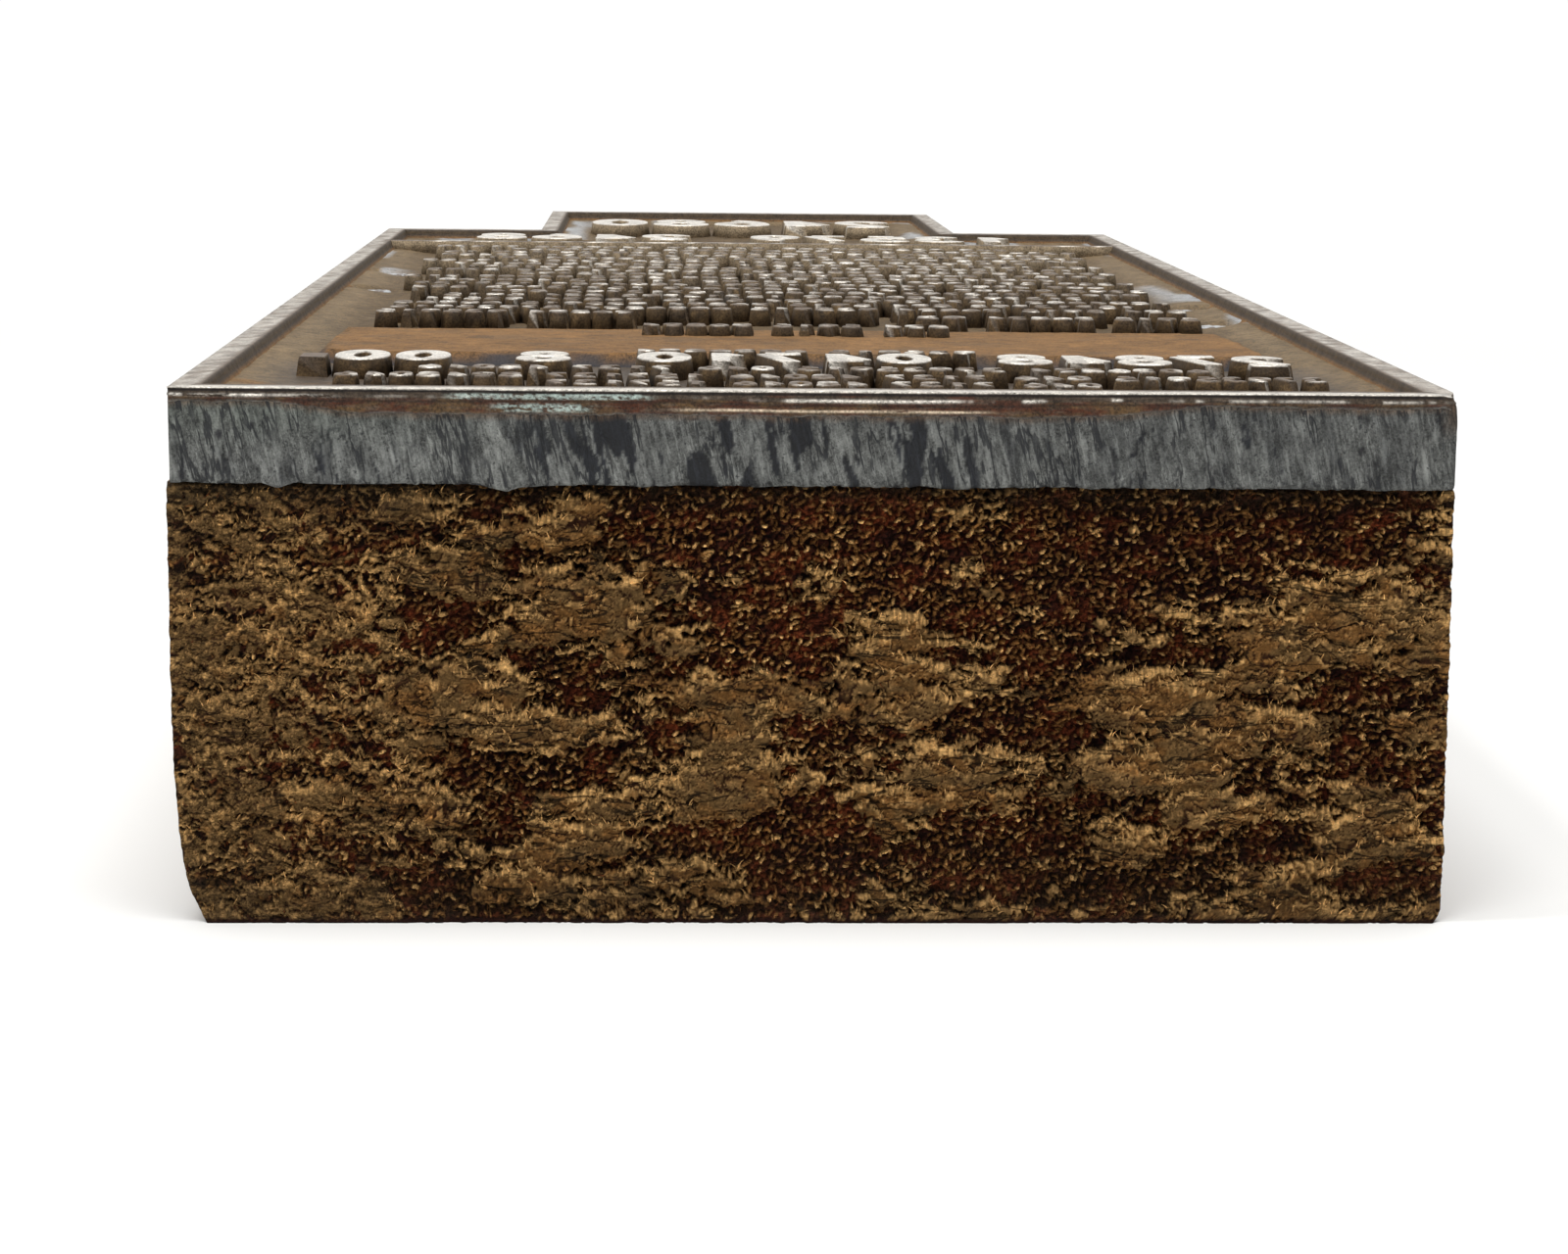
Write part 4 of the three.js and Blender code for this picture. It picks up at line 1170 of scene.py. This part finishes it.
def frame_rule(work, tints):
    """The rule round the label: its cut edge, top and inner side carried along the label's outline,
    mitred at the corners. The top is dull, and on the front bright with dull spots; towards its inner
    edge the front top is painted dark as shade."""
    path, _ = dense_path(label_corners(), RULE_STEPS)
    run = distance_run(path)
    at_front = (path[:, 1] < FRONT + 0.01).astype(float)
    drift = inset_path(1.0, RULE_STEPS) - path
    foot = np.where(at_front > 0, rust_limit(path[:, 0]), EDGE_DEPTH)
    rings = [np.column_stack([path + drift * 0.3, TYPE_HEIGHT - foot])]
    colours = [np.broadcast_to(tints.black, (len(run), 4))]
    place = np.where(at_front > 0, path[:, 0], run)
    for share in np.linspace(0, 1, EDGE_LEVELS):
        deep = foot * (1 - share)
        out, tint = cut_edge(place, deep, at_front, tints)
        rings.append(np.column_stack([path - drift * out[:, None], TYPE_HEIGHT - deep]))
        colours.append(tint)
    for inset, drop, name in rule_section(at_front, run):
        inset = inset + 0 * run
        spot = path + drift * inset[:, None]
        rings.append(np.column_stack([spot, TYPE_HEIGHT - drop + 0 * run]))
        tint = np.broadcast_to(getattr(tints, name), (len(run), 4))
        if name == "pale":
            dull = 0.66 + 0.5 * cloud(spot[:, 0] / 0.5, spot[:, 1] / 0.8, 125, 4)
            worn = 0.12 + 0.25 * smooth(0.1, 0.5, cloud(run / 0.6, inset, 126, 3))
            worn = worn + 0.9 * smooth(0.45, 0.9, inset)
            tint = blend(tints.pale, tints.top, np.clip(np.where(at_front > 0, worn, dull), 0, 1))
            # Painted shade: on the front, the inner part of the rule's top is darkened to umber,
            # standing for the inner wall's shadow
            tint = blend(tint, tints.umber, 0.95 * at_front * smooth(0.5, 0.8, inset))
        colours.append(tint)
    points = np.stack(rings, 1)
    wear_corner(points)
    faces = [grid_faces(*points.shape[:2], closed_rows=True, closed_columns=True, flip=True)]
    work.add(points, faces, np.stack(colours, 1).reshape(-1, 4))


def floor_depth(x, y):
    """Depth of the copper's floor under type height: shallow at the frame, deeper among the type,
    with the raised blank behind the front lines, whose near corners are round. With it go the share
    of the blank, the share of the type's area and the distance outside the blank."""
    tab_side = np.where(y > SHOULDER, TAB_HALF, HALF_WIDTH)
    edge = np.minimum(tab_side - np.abs(x), np.minimum(y - FRONT, FAR - y))
    outside_tab = (np.abs(x) > TAB_HALF) & (y < SHOULDER)
    edge = np.where(outside_tab, np.minimum(edge, SHOULDER - y), edge)
    margin = smooth(RULE_WIDTH, RULE_WIDTH + WALL_FLARE + MARGIN_WIDTH, edge)
    depth = MARGIN_DEPTH + (TYPE_DEPTH - MARGIN_DEPTH) * margin
    near = FRONT + BLANK["start"]
    far = near + BLANK["length"]
    wide = HALF_WIDTH - BLANK["inset"]
    corner = BLANK["radius"]
    qx = np.maximum(np.abs(x) - wide + corner, 0)
    qy = np.maximum(near + corner - y, 0)
    outside = np.maximum(np.hypot(qx, qy) - corner, y - far)
    noise = patches(x, y)
    wobble = 0.25 * noise(2.0, 2.0, 131)
    on_blank = smooth(0.18, -0.18, outside + wobble)
    along = np.clip((y - near) / BLANK["length"], 0, 1)
    crest = BLANK["near"] + (BLANK["far"] - BLANK["near"]) * along
    depth = depth + (crest - depth) * on_blank
    dips = 0.05 * noise(1.2, 1.2, 133) + 0.02 * noise(0.3, 0.3, 135, 2)
    return depth + dips * (1 - 0.5 * on_blank), on_blank, margin, outside + wobble


def floor_sheet(work, left, right, near, far, tints, sunk=0.0):
    """A stretch of the copper's floor as a closed sheet: olive in the margins, darker among the type,
    with painted shade among the front lines and a near-black painted shadow at the foot of the blank,
    amber on the blank, with bare metal in the far margins."""
    columns = int((right - left) / FLOOR_STEP) + 1
    rows = int((far - near) / FLOOR_STEP) + 1
    x, y = np.meshgrid(np.linspace(left, right, columns), np.linspace(near, far, rows))
    depth, on_blank, margin, outside = floor_depth(x, y)
    for px, py in margin_nail_places():
        round_nail = smooth(NAIL_HEAD + 0.75, NAIL_HEAD + 0.1, np.hypot(x - px, y - py))
        depth = depth + (1.0 - depth) * round_nail
    z = TYPE_HEIGHT - sunk - depth
    noise = patches(x, y)
    mottle = 0.5 + 0.5 * noise(1.5, 2.5, 141)
    tint = blend(tints.wall * 1.15, tints.floor, np.clip((1 - margin) * 1.2 + 0.35 * mottle, 0, 1))
    # Painted shade among the front rows of type: the floor between them is darkened towards umber
    front_rows_shade = margin * band(y, FRONT + 4.0, FRONT + 19.0, 1.5) * (1 - on_blank)
    warm = smooth(0.1, 0.4, noise(1.6, 1.6, 145, 4)) * smooth(FRONT + 16.0, FRONT + 8.0, y)
    warm = 0.8 * warm * (1 - 0.6 * front_rows_shade)
    stain = smooth(0.0, 0.5, noise(3.0, 1.2, 147, 4))
    # Painted shadow: a near-black strip on the floor at the foot of the blank, behind the front rows
    blank_foot_shadow = band(outside, -0.10, 0.55, 0.08) * smooth(FRONT + 24.0, FRONT + 20.5, y)
    tint = painted(
        tint,
        (tints.umber * 0.8, 0.9 * front_rows_shade),
        (tints.amber, np.maximum(on_blank * smooth(0.15, 0.6, mottle + 0.35), warm)),
        (tints.wall, 0.45 * stain * on_blank),
        (tints.ink, 0.95 * blank_foot_shadow),
    )
    blot = 1 + 0.30 * noise(1.6, 2.4, 149, 4)
    tint = tint * np.stack([blot, blot, blot, 1 + 0 * blot], -1)
    metal = smooth(0.62, 0.8, value_noise(x / 2.2, y / 5.0, 143)) * smooth(FRONT + 34, FRONT + 46, y)
    tint = blend(tint, tints.steel, metal * (1 - margin) * 0.7)
    closed_sheet(work, np.stack([x, y, z], -1), tint, COPPER_UNDERSIDE)


def margin_nail_places():
    """The nails in the left and right margins, as places across and along the block."""
    left = [(-MARGIN_NAIL_X, FRONT + share * LENGTH) for share in LEFT_NAILS]
    return left + [(MARGIN_NAIL_X, FRONT + share * LENGTH) for share in RIGHT_NAILS]


# Figures and small type

def arc(x, y, radius_x, radius_y, start, end, fineness):
    """Points on an oval arc in a figure's unit cell, by turns from the right, anticlockwise."""
    count = max(2, round(abs(end - start) * fineness)) + 1
    angle = 2 * math.pi * np.linspace(start, end, count)
    return np.stack([x + radius_x * np.cos(angle), y + radius_y * np.sin(angle)], -1)


def figure_strokes(figure, fineness):
    """Middle lines of a figure's strokes in a unit cell with its origin at the foot."""
    low_bowl = arc(0.5, 0.3, 0.5, 0.3, 0, 1, fineness)
    stem = arc(0.72, 0.3, 0.72, 0.7, 0.5, 0.26, fineness)
    curve_of_two = np.concatenate([arc(0.5, 0.69, 0.5, 0.31, 0.46, -0.08, fineness), [[0.05, 0]]])
    top_of_three = arc(0.46, 0.76, 0.46, 0.24, 0.42, -0.25, fineness)
    foot_of_three = arc(0.46, 0.26, 0.54, 0.26, 0.25, -0.42, fineness)
    bowl_of_five = arc(0.46, 0.31, 0.54, 0.31, 0.36, -0.42, fineness)
    strokes = {
        "0": [arc(0.5, 0.5, 0.5, 0.5, 0, 1, fineness)],
        "1": [((0.6, 0), (0.6, 1)), ((0.15, 0.7), (0.6, 0.98))],
        "2": [curve_of_two, ((0, 0), (1, 0))],
        "3": [top_of_three, foot_of_three],
        "4": [((0.72, 0), (0.72, 1)), ((0.72, 1), (0, 0.28)), ((0, 0.28), (1, 0.28))],
        "5": [((0.12, 1), (0.92, 1)), ((0.12, 1), (0.08, 0.5)), bowl_of_five],
        "6": [low_bowl, stem],
        "7": [((0, 1), (1, 1)), ((1, 1), (0.34, 0))],
        "8": [arc(0.5, 0.76, 0.42, 0.24, 0, 1, fineness), arc(0.5, 0.26, 0.5, 0.26, 0, 1, fineness)],
        "9": [1 - low_bowl, 1 - stem],
    }
    return [np.array(stroke, float) for stroke in strokes[figure]]


def stroke_section(half, deep):
    """A stroke's section: distances from the middle line and heights, from one foot to the other."""
    flare = 0.16
    steps = [
        (half + flare, TYPE_HEIGHT - deep),
        (half + 0.05, TYPE_HEIGHT - 0.28 * deep),
        (half + 0.012, TYPE_HEIGHT - 0.08),
        (half - 0.025, TYPE_HEIGHT),
    ]
    return steps + [(-offset, height) for offset, height in reversed(steps)]


def raised_stroke(work, path, half, deep, tints, seed, rubbed, sunk=0.0):
    """A raised stroke: its section carried along the middle line. An open stroke's ends slope as
    its sides do, and a closed one joins its own start."""
    closed = np.linalg.norm(path[0] - path[-1]) < half / 10
    path = path[:-1] if closed else path
    before = np.roll(path, 1, axis=0)
    after = np.roll(path, -1, axis=0)
    if not closed:
        before[0] = path[0]
        after[-1] = path[-1]
    along = after - before
    along = along / np.linalg.norm(along, axis=1, keepdims=True)
    across = np.stack([-along[:, 1], along[:, 0]], -1)
    offsets, heights = np.array(stroke_section(half, deep)).T
    place = path[:, None] + across[:, None] * offsets[None, :, None]
    if not closed:
        spread = (np.abs(offsets) - half)[:, None]
        place[0] = place[0] - along[0] * spread
        place[-1] = place[-1] + along[-1] * spread
    n, m = place.shape[:2]
    x, y = np.moveaxis(place, -1, 0)
    z = np.broadcast_to(heights - sunk, (n, m))
    noise = patches(x, y, seed)
    lump = 0.035 * smooth(TYPE_HEIGHT - 0.02, TYPE_HEIGHT - 0.4, z) * noise(0.25, 0.25, 0, 2)
    crust = smooth(0.0, 0.5, cloud(x / 0.3, (y + z) / 0.35, seed + 3, 2))
    shade = smooth(0.0, 0.5, cloud(x / 0.35, (y - z) / 0.45, seed + 7, 2))
    dusty = 0.85 * smooth(FRONT + 38, FAR - 30, y)
    layers = (tints.floor * 1.25, 0.8 * crust), (tints.umber * 0.5, 0.75 * shade), (tints.dust, dusty)
    tint = painted(tints.wall, *layers) * TYPE_WARMTH
    worn = smooth(0.55, 0.95, rubbed + 0.5 * noise(0.9, 0.9, 5, 3))
    tint = blend(tint, blend(tints.top, tints.pale, worn), z > TYPE_HEIGHT - sunk - 0.001)
    sides = grid_faces(n, m, closed_rows=closed, closed_columns=True)
    on_top = np.arange(len(sides)) % m == m // 2 - 1
    faces = [sides[~on_top], sides[on_top], *(() if closed else end_caps(n, m))]
    points = np.stack([x + lump, y - lump, z], -1)
    work.add(points, [block[:, ::-1] for block in faces], tint.reshape(-1, 4), flat=(1, 2, 3))


def raised_figure(work, figure, left, near, width, height, fineness, tints, seed, rubbed):
    """One figure in its cell, reversed left to right so that it prints the right way round."""
    half = width * STROKE_SHARE / 2
    for layer, stroke in enumerate(figure_strokes(figure, fineness)):
        x = left + half + (1 - stroke[:, 0]) * (width - 2 * half)
        y = near + half + stroke[:, 1] * (height - 2 * half)
        raised_stroke(work, np.stack([x, y], -1), half, FIGURE_DEPTH, tints, seed, rubbed, HAIR * layer)


def figure_rows(material, tints):
    """The rows of large figures, and the blank mark at the end of the front one."""
    work = Patchwork()
    for start, tall, row_left, row_right, text in FIGURE_ROWS:
        pitch = (row_right - row_left) * TEXT_WIDTH / len(text)
        near = FRONT + start * LENGTH
        wide = pitch * FIGURE_SHARE
        for i, figure in enumerate(text):
            if figure != " ":
                left = row_right * TEXT_WIDTH - (i + 1) * pitch
                size = (left, near, wide, tall * LENGTH)
                raised_figure(work, figure, *size, LARGE_FINENESS, tints, 201 + i, LARGE_RUBBED)
    start, tall, left, right = END_MARK
    ends = FRONT + start * LENGTH + np.linspace(0, tall * LENGTH, 12)
    path = np.stack([(left + right) * HALF_WIDTH + 0 * ends, ends], -1)
    raised_stroke(work, path, (right - left) * HALF_WIDTH, FIGURE_DEPTH, tints, 231, MARK_RUBBED)
    piece = work.make("large_figures", [material], ["copper_shell"])


def word_figures(work, line, left, right, near, height, tints, fineness):
    """The words of one small line, set from right to left, each letter a small figure."""
    x = right
    word = 0
    while x - left > SHORTEST_WORD:
        letters = 3 + ((line * 5 + word * 7) % 6)
        end = max(x - letters * LETTER_WIDTH, left)
        fitted = max(int(round((x - end) / LETTER_WIDTH)), 1)
        pitch = (x - end) / fitted
        for i in range(fitted):
            figure = str((line * 3 + word * 7 + i * 3 + (i * i) % 4) % 10)
            size = (x - (i + 1) * pitch + 0.05, near, pitch * SMALL_SHARE, height)
            raised_figure(work, figure, *size, fineness, tints, 301 + i + word, SMALL_RUBBED)
        x = end - WORD_SPACE
        word += 1


def front_type(material, tints):
    """The small lines before and on the blank."""
    work = Patchwork()
    wide = 2 * HALF_WIDTH
    for line, (start, tall, left, right) in enumerate(FRONT_LINES):
        near = FRONT + start * LENGTH
        word_figures(work, line, left * wide, right * wide, near, tall * LENGTH, tints, FRONT_FINENESS)
    piece = work.make("front_small_type", [material], ["copper_shell"])


def text_type(material, tints):
    """The small lines between the blank and the cross rule, in pieces of a few lines each."""
    start = FRONT + TEXT_START
    count = int((CROSS_RULE - start - CROSS_RULE_SPACE) / SMALL_PITCH)
    for part, first in enumerate(range(0, count, TEXT_PIECE_LINES)):
        work = Patchwork()
        for line in range(first, min(first + TEXT_PIECE_LINES, count)):
            left, right = ((share - 0.5) * TEXT_WIDTH for share in INDENTS[line % len(INDENTS)])
            size = (left, right, start + line * SMALL_PITCH, SMALL_HEIGHT)
            word_figures(work, line + len(FRONT_LINES) - 1, *size, tints, TEXT_FINENESS)
        piece = work.make(f"text_lines_{part + 1}", [material], ["copper_shell"])


def copper_ground(material, tints):
    """The frame rule, the cross rule and the floor of the copper face."""
    work = Patchwork()
    frame_rule(work, tints)
    end = HALF_WIDTH - RULE_WIDTH + 0.05
    x = np.linspace(-end, end, 160)
    path = np.stack([x, CROSS_RULE + CROSS_RULE_WIDTH / 2 + 0 * x], -1)
    raised_stroke(work, path, CROSS_RULE_WIDTH / 2, TYPE_DEPTH, tints, 151, RULE_RUBBED, HAIR)
    rules = work.make("frame_rules", [material], ["copper_shell"])
    work = Patchwork()
    inset = RULE_WIDTH + 0.03
    label = (-HALF_WIDTH + inset, HALF_WIDTH - inset, FRONT + inset, SHOULDER - inset)
    tab = (-TAB_HALF + inset, TAB_HALF - inset, SHOULDER - inset - 0.2, FAR - inset)
    floor_sheet(work, *label, tints)
    floor_sheet(work, *tab, tints, HAIR)
    ground = work.make("copper_floor", [material], ["copper_shell"])


def nails(material):
    """Nails: a head profile turned round its axis, dented a little, over a shank with a point."""
    work = Patchwork()
    places = [(x, y, MARGIN_NAIL_TOP) for x, y in margin_nail_places()]
    for side in (-1, 1):
        for share in SHOULDER_NAILS:
            places.append((side * SHOULDER_NAIL_X, SHOULDER + share * TAB_LENGTH, SHOULDER_NAIL_TOP))
    radius, height = np.array(NAIL_PROFILE).T[:, :, None]
    turn = np.linspace(0, 2 * math.pi, NAIL_TURN, endpoint=False)
    rows = len(NAIL_PROFILE)
    faces = [grid_faces(rows, NAIL_TURN, closed_columns=True), *end_caps(rows, NAIL_TURN)]
    faces = [block[:, ::-1] for block in faces]
    for i, (px, py, top) in enumerate(places):
        x = px + radius * NAIL_HEAD * np.cos(turn)
        y = py + radius * NAIL_HEAD * np.sin(turn)
        dent = 0.05 * cloud(x / 0.5, y / 0.5, 401 + i, 3) * (height > -0.1)
        work.add(np.stack([x, y, top + height + dent], -1), faces, (0.4, 0.4, 0.4, 1))
    piece = work.make("nails", [material], [f"nail_{i + 1}" for i in range(len(places))])


# The stage

def camera_turn():
    """The camera's turn: yaw to the side, pitch down, roll round the view line."""
    yaw, pitch, roll = (math.radians(a) for a in (CAMERA_YAW, CAMERA_PITCH, CAMERA_ROLL))
    level = math.cos(pitch)
    ahead = Vector((-math.sin(yaw) * level, math.cos(yaw) * level, -math.sin(pitch)))
    side = Vector((math.cos(yaw), math.sin(yaw), 0))
    above = side.cross(ahead)
    right = math.cos(roll) * side + math.sin(roll) * above
    up = -math.sin(roll) * side + math.cos(roll) * above
    return Matrix((right, up, -ahead)).transposed().to_4x4()


def make_camera():
    """The camera that the photograph was taken with."""
    data = bpy.data.cameras.new("photo_camera")
    data.sensor_width = 36
    data.lens = FOCAL_PIXELS / PHOTO_WIDTH * data.sensor_width
    data.clip_start = 0.005
    data.clip_end = 50
    camera = bpy.data.objects.new("photo_camera", data)
    bpy.context.scene.collection.objects.link(camera)
    camera.matrix_world = Matrix.Translation(Vector(CAMERA_PLACE) * MM) @ camera_turn()
    bpy.context.scene.camera = camera


def soft_lamp(name, place, size, power, colour):
    """A square area lamp aimed at the block's middle."""
    data = bpy.data.lights.new(name, "AREA")
    data.size = size
    data.energy = power
    data.color = colour
    lamp = bpy.data.objects.new(name, data)
    bpy.context.scene.collection.objects.link(lamp)
    lamp.location = place
    aim = Vector((0, 0, 0.01)) - Vector(place)
    lamp.rotation_euler = aim.to_track_quat("-Z", "Y").to_euler()


def make_world():
    """A soft light from all round, under which the camera and reflections see white."""
    world = bpy.data.worlds.new("studio")
    bpy.context.scene.world = world
    world.use_nodes = True
    tree = world.node_tree
    background = tree.nodes["Background"]
    background.inputs["Color"].default_value = PAPER_WHITE
    strength = seen_directly(tree) * (PAPER_STRENGTH - AMBIENT) + AMBIENT
    feed(tree, background.inputs["Strength"], strength)


# The add-on

def colour(name, description, default):
    """A colour that a user would change."""
    return FloatVectorProperty(
        name=name, description=description, default=default, size=3, min=0, max=1, subtype="COLOR"
    )


class BLOCK_PG_colours(bpy.types.PropertyGroup):
    """Colours of the block's finishes."""

    plate_brown: colour(
        "Smeared grain, brown", "Plates of torn grain, the browner ones", (0.197, 0.093, 0.027)
    )
    plate_olive: colour(
        "Smeared grain, olive", "Plates of torn grain, the greyer ones", (0.142, 0.080, 0.029)
    )
    fringe_light: colour("Broken fibres", "Pale fibres at the plates' upper edges", (0.84, 0.49, 0.18))
    pit_dark: colour("Pits, dark", "The deepest torn grain", (0.022, 0.0055, 0.003))
    pit_red: colour("Pits, red", "Torn grain where the wood shows red", (0.108, 0.024, 0.008))
    board_light: colour("Board, light", "Pale bands of the planed sides", (0.22, 0.13, 0.06))
    board_dark: colour("Board, dark", "Dark bands of the planed sides", (0.12, 0.065, 0.028))
    rule_bright: colour(
        "Printing face, rubbed", "Tops of type and rules where the paper rubs them", (0.60, 0.56, 0.50)
    )
    rule_dull: colour(
        "Printing face, dull", "Tops of type and rules where tarnish is left", (0.10, 0.075, 0.055)
    )
    copper_wall: colour(
        "Copper walls", "Sides of type and rules, dark with old ink", (0.060, 0.040, 0.021)
    )
    copper_floor: colour("Copper floor", "The floor in the margins", (0.125, 0.087, 0.047))
    copper_amber: colour(
        "Copper, amber", "The blank area, where the copper stays warm", (0.150, 0.078, 0.028)
    )
    copper_red: colour("Copper, red", "The copper's cut edge at the front", (0.062, 0.020, 0.009))
    copper_rust: colour(
        "Copper, rust", "Brown rust under the copper's edge at the front", (0.098, 0.056, 0.024)
    )
    copper_umber: colour(
        "Copper, umber", "Dark brown in the hollow of the front edge", (0.052, 0.038, 0.027)
    )
    copper_dust: colour(
        "Copper, dusty", "Sides of the type towards the far end, pale with dust", (0.305, 0.256, 0.185)
    )
    copper_gold: colour(
        "Copper, bared", "Bright copper on the front edge's lower ridge", (0.55, 0.45, 0.33)
    )
    copper_green: colour("Copper, crust", "Pale green crust on the front edge", (0.30, 0.36, 0.33))
    floor: colour("Studio floor", "The pale paper under the block", (0.765, 0.765, 0.755))


class BLOCK_PG_sizes(bpy.types.PropertyGroup):
    """Sizes of the finish that a user would change."""

    grain_step: FloatProperty(
        name="Grain step", description="Spacing of the points on the torn front end",
        default=0.062 * MM, min=0.06 * MM, max=1 * MM, unit="LENGTH", precision=6,
    )
    strand_count: IntProperty(
        name="Loose fibres", description="Loose fibres on the torn front end",
        default=4200, min=0, max=7000,
    )
    floor_size: FloatProperty(
        name="Floor size", description="Width of the paper under the block",
        default=6.0, min=0.5, max=20, unit="LENGTH",
    )


class BLOCK_OT_stage(bpy.types.Operator):
    """Make the pale floor, the soft lamps and the camera"""

    bl_idname = "block.stage"
    bl_label = "Stage"

    def execute(self, context):
        make_camera()
        make_world()
        half = context.scene.block_sizes.floor_size / 2
        mesh = bpy.data.meshes.new("pale_floor")
        corners = [(-half, -half, 0), (half, -half, 0), (half, half, 0), (-half, half, 0)]
        mesh.from_pydata(corners, [], [(0, 1, 2, 3)])
        mesh.materials.append(floor_finish(context.scene.block_colours))
        ground = bpy.data.objects.new("pale_floor", mesh)
        context.scene.collection.objects.link(ground)
        for lamp in LAMPS:
            soft_lamp(*lamp)
        context.scene.view_settings.view_transform = "Standard"
        return {"FINISHED"}


class BLOCK_OT_wood(bpy.types.Operator):
    """Make the wood mount: the board, its two torn ends and their loose fibres"""

    bl_idname = "block.wood"
    bl_label = "Wood mount"

    def execute(self, context):
        colours = context.scene.block_colours
        sizes = context.scene.block_sizes
        torn = torn_wood_finish()
        planed = planed_wood_finish(colours)
        step = sizes.grain_step / MM
        near = (FRONT, 1, step, FRONT_GRAIN, HOLLOWS, 3)
        far = (FAR, -1, FAR_COARSER * step, FAR_GRAIN, (), 1)
        sheet = grain_end("wood_front_end", *near, [torn, planed], colours)
        grain_end("wood_far_end", *far, [torn, planed], colours)
        board_body([planed], colours)
        fibre_strands("loose_fibres", sheet, 1, sizes.strand_count, STRAND_SEED, torn, colours)
        return {"FINISHED"}


class BLOCK_OT_metal(bpy.types.Operator):
    """Make the cast metal plate with its routed shoulders"""

    bl_idname = "block.metal"
    bl_label = "Backing plate"

    def execute(self, context):
        material = type_metal_finish()
        backing_plate(material)
        routed_shoulders(material)
        return {"FINISHED"}


class BLOCK_OT_copper(bpy.types.Operator):
    """Make the copper face: its rules, its floor and all its type"""

    bl_idname = "block.copper"
    bl_label = "Copper face"

    def execute(self, context):
        colours = context.scene.block_colours
        material = copper_finish()
        tints = copper_tints(colours)
        copper_ground(material, tints)
        figure_rows(material, tints)
        front_type(material, tints)
        text_type(material, tints)
        return {"FINISHED"}


class BLOCK_OT_nails(bpy.types.Operator):
    """Make the nails that hold the plate"""

    bl_idname = "block.nails"
    bl_label = "Nails"

    def execute(self, context):
        nails(nail_finish())
        return {"FINISHED"}


class BLOCK_PT_panel(bpy.types.Panel):
    """Lists the steps that make the block"""

    bl_idname = "BLOCK_PT_panel"
    bl_label = "Printing block"
    bl_space_type = "VIEW_3D"
    bl_region_type = "UI"
    bl_category = "Printing block"

    def draw(self, context):
        for operator in STEPS:
            self.layout.operator(operator.bl_idname)
        for name in BLOCK_PG_sizes.__annotations__:
            self.layout.prop(context.scene.block_sizes, name)
        for name in BLOCK_PG_colours.__annotations__:
            self.layout.prop(context.scene.block_colours, name)


STEPS = (BLOCK_OT_stage, BLOCK_OT_wood, BLOCK_OT_metal, BLOCK_OT_copper, BLOCK_OT_nails)
CLASSES = (BLOCK_PG_colours, BLOCK_PG_sizes, *STEPS, BLOCK_PT_panel)


def register():
    for cls in CLASSES:
        bpy.utils.register_class(cls)
    bpy.types.Scene.block_colours = PointerProperty(type=BLOCK_PG_colours)
    bpy.types.Scene.block_sizes = PointerProperty(type=BLOCK_PG_sizes)


def unregister():
    del bpy.types.Scene.block_sizes
    del bpy.types.Scene.block_colours
    for cls in reversed(CLASSES):
        bpy.utils.unregister_class(cls)


def main():
    """Makes the whole block."""
    register()
    bpy.ops.block.stage()
    bpy.ops.block.wood()
    bpy.ops.block.metal()
    bpy.ops.block.copper()
    bpy.ops.block.nails()
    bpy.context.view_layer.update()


if __name__ == "__main__":
    main()
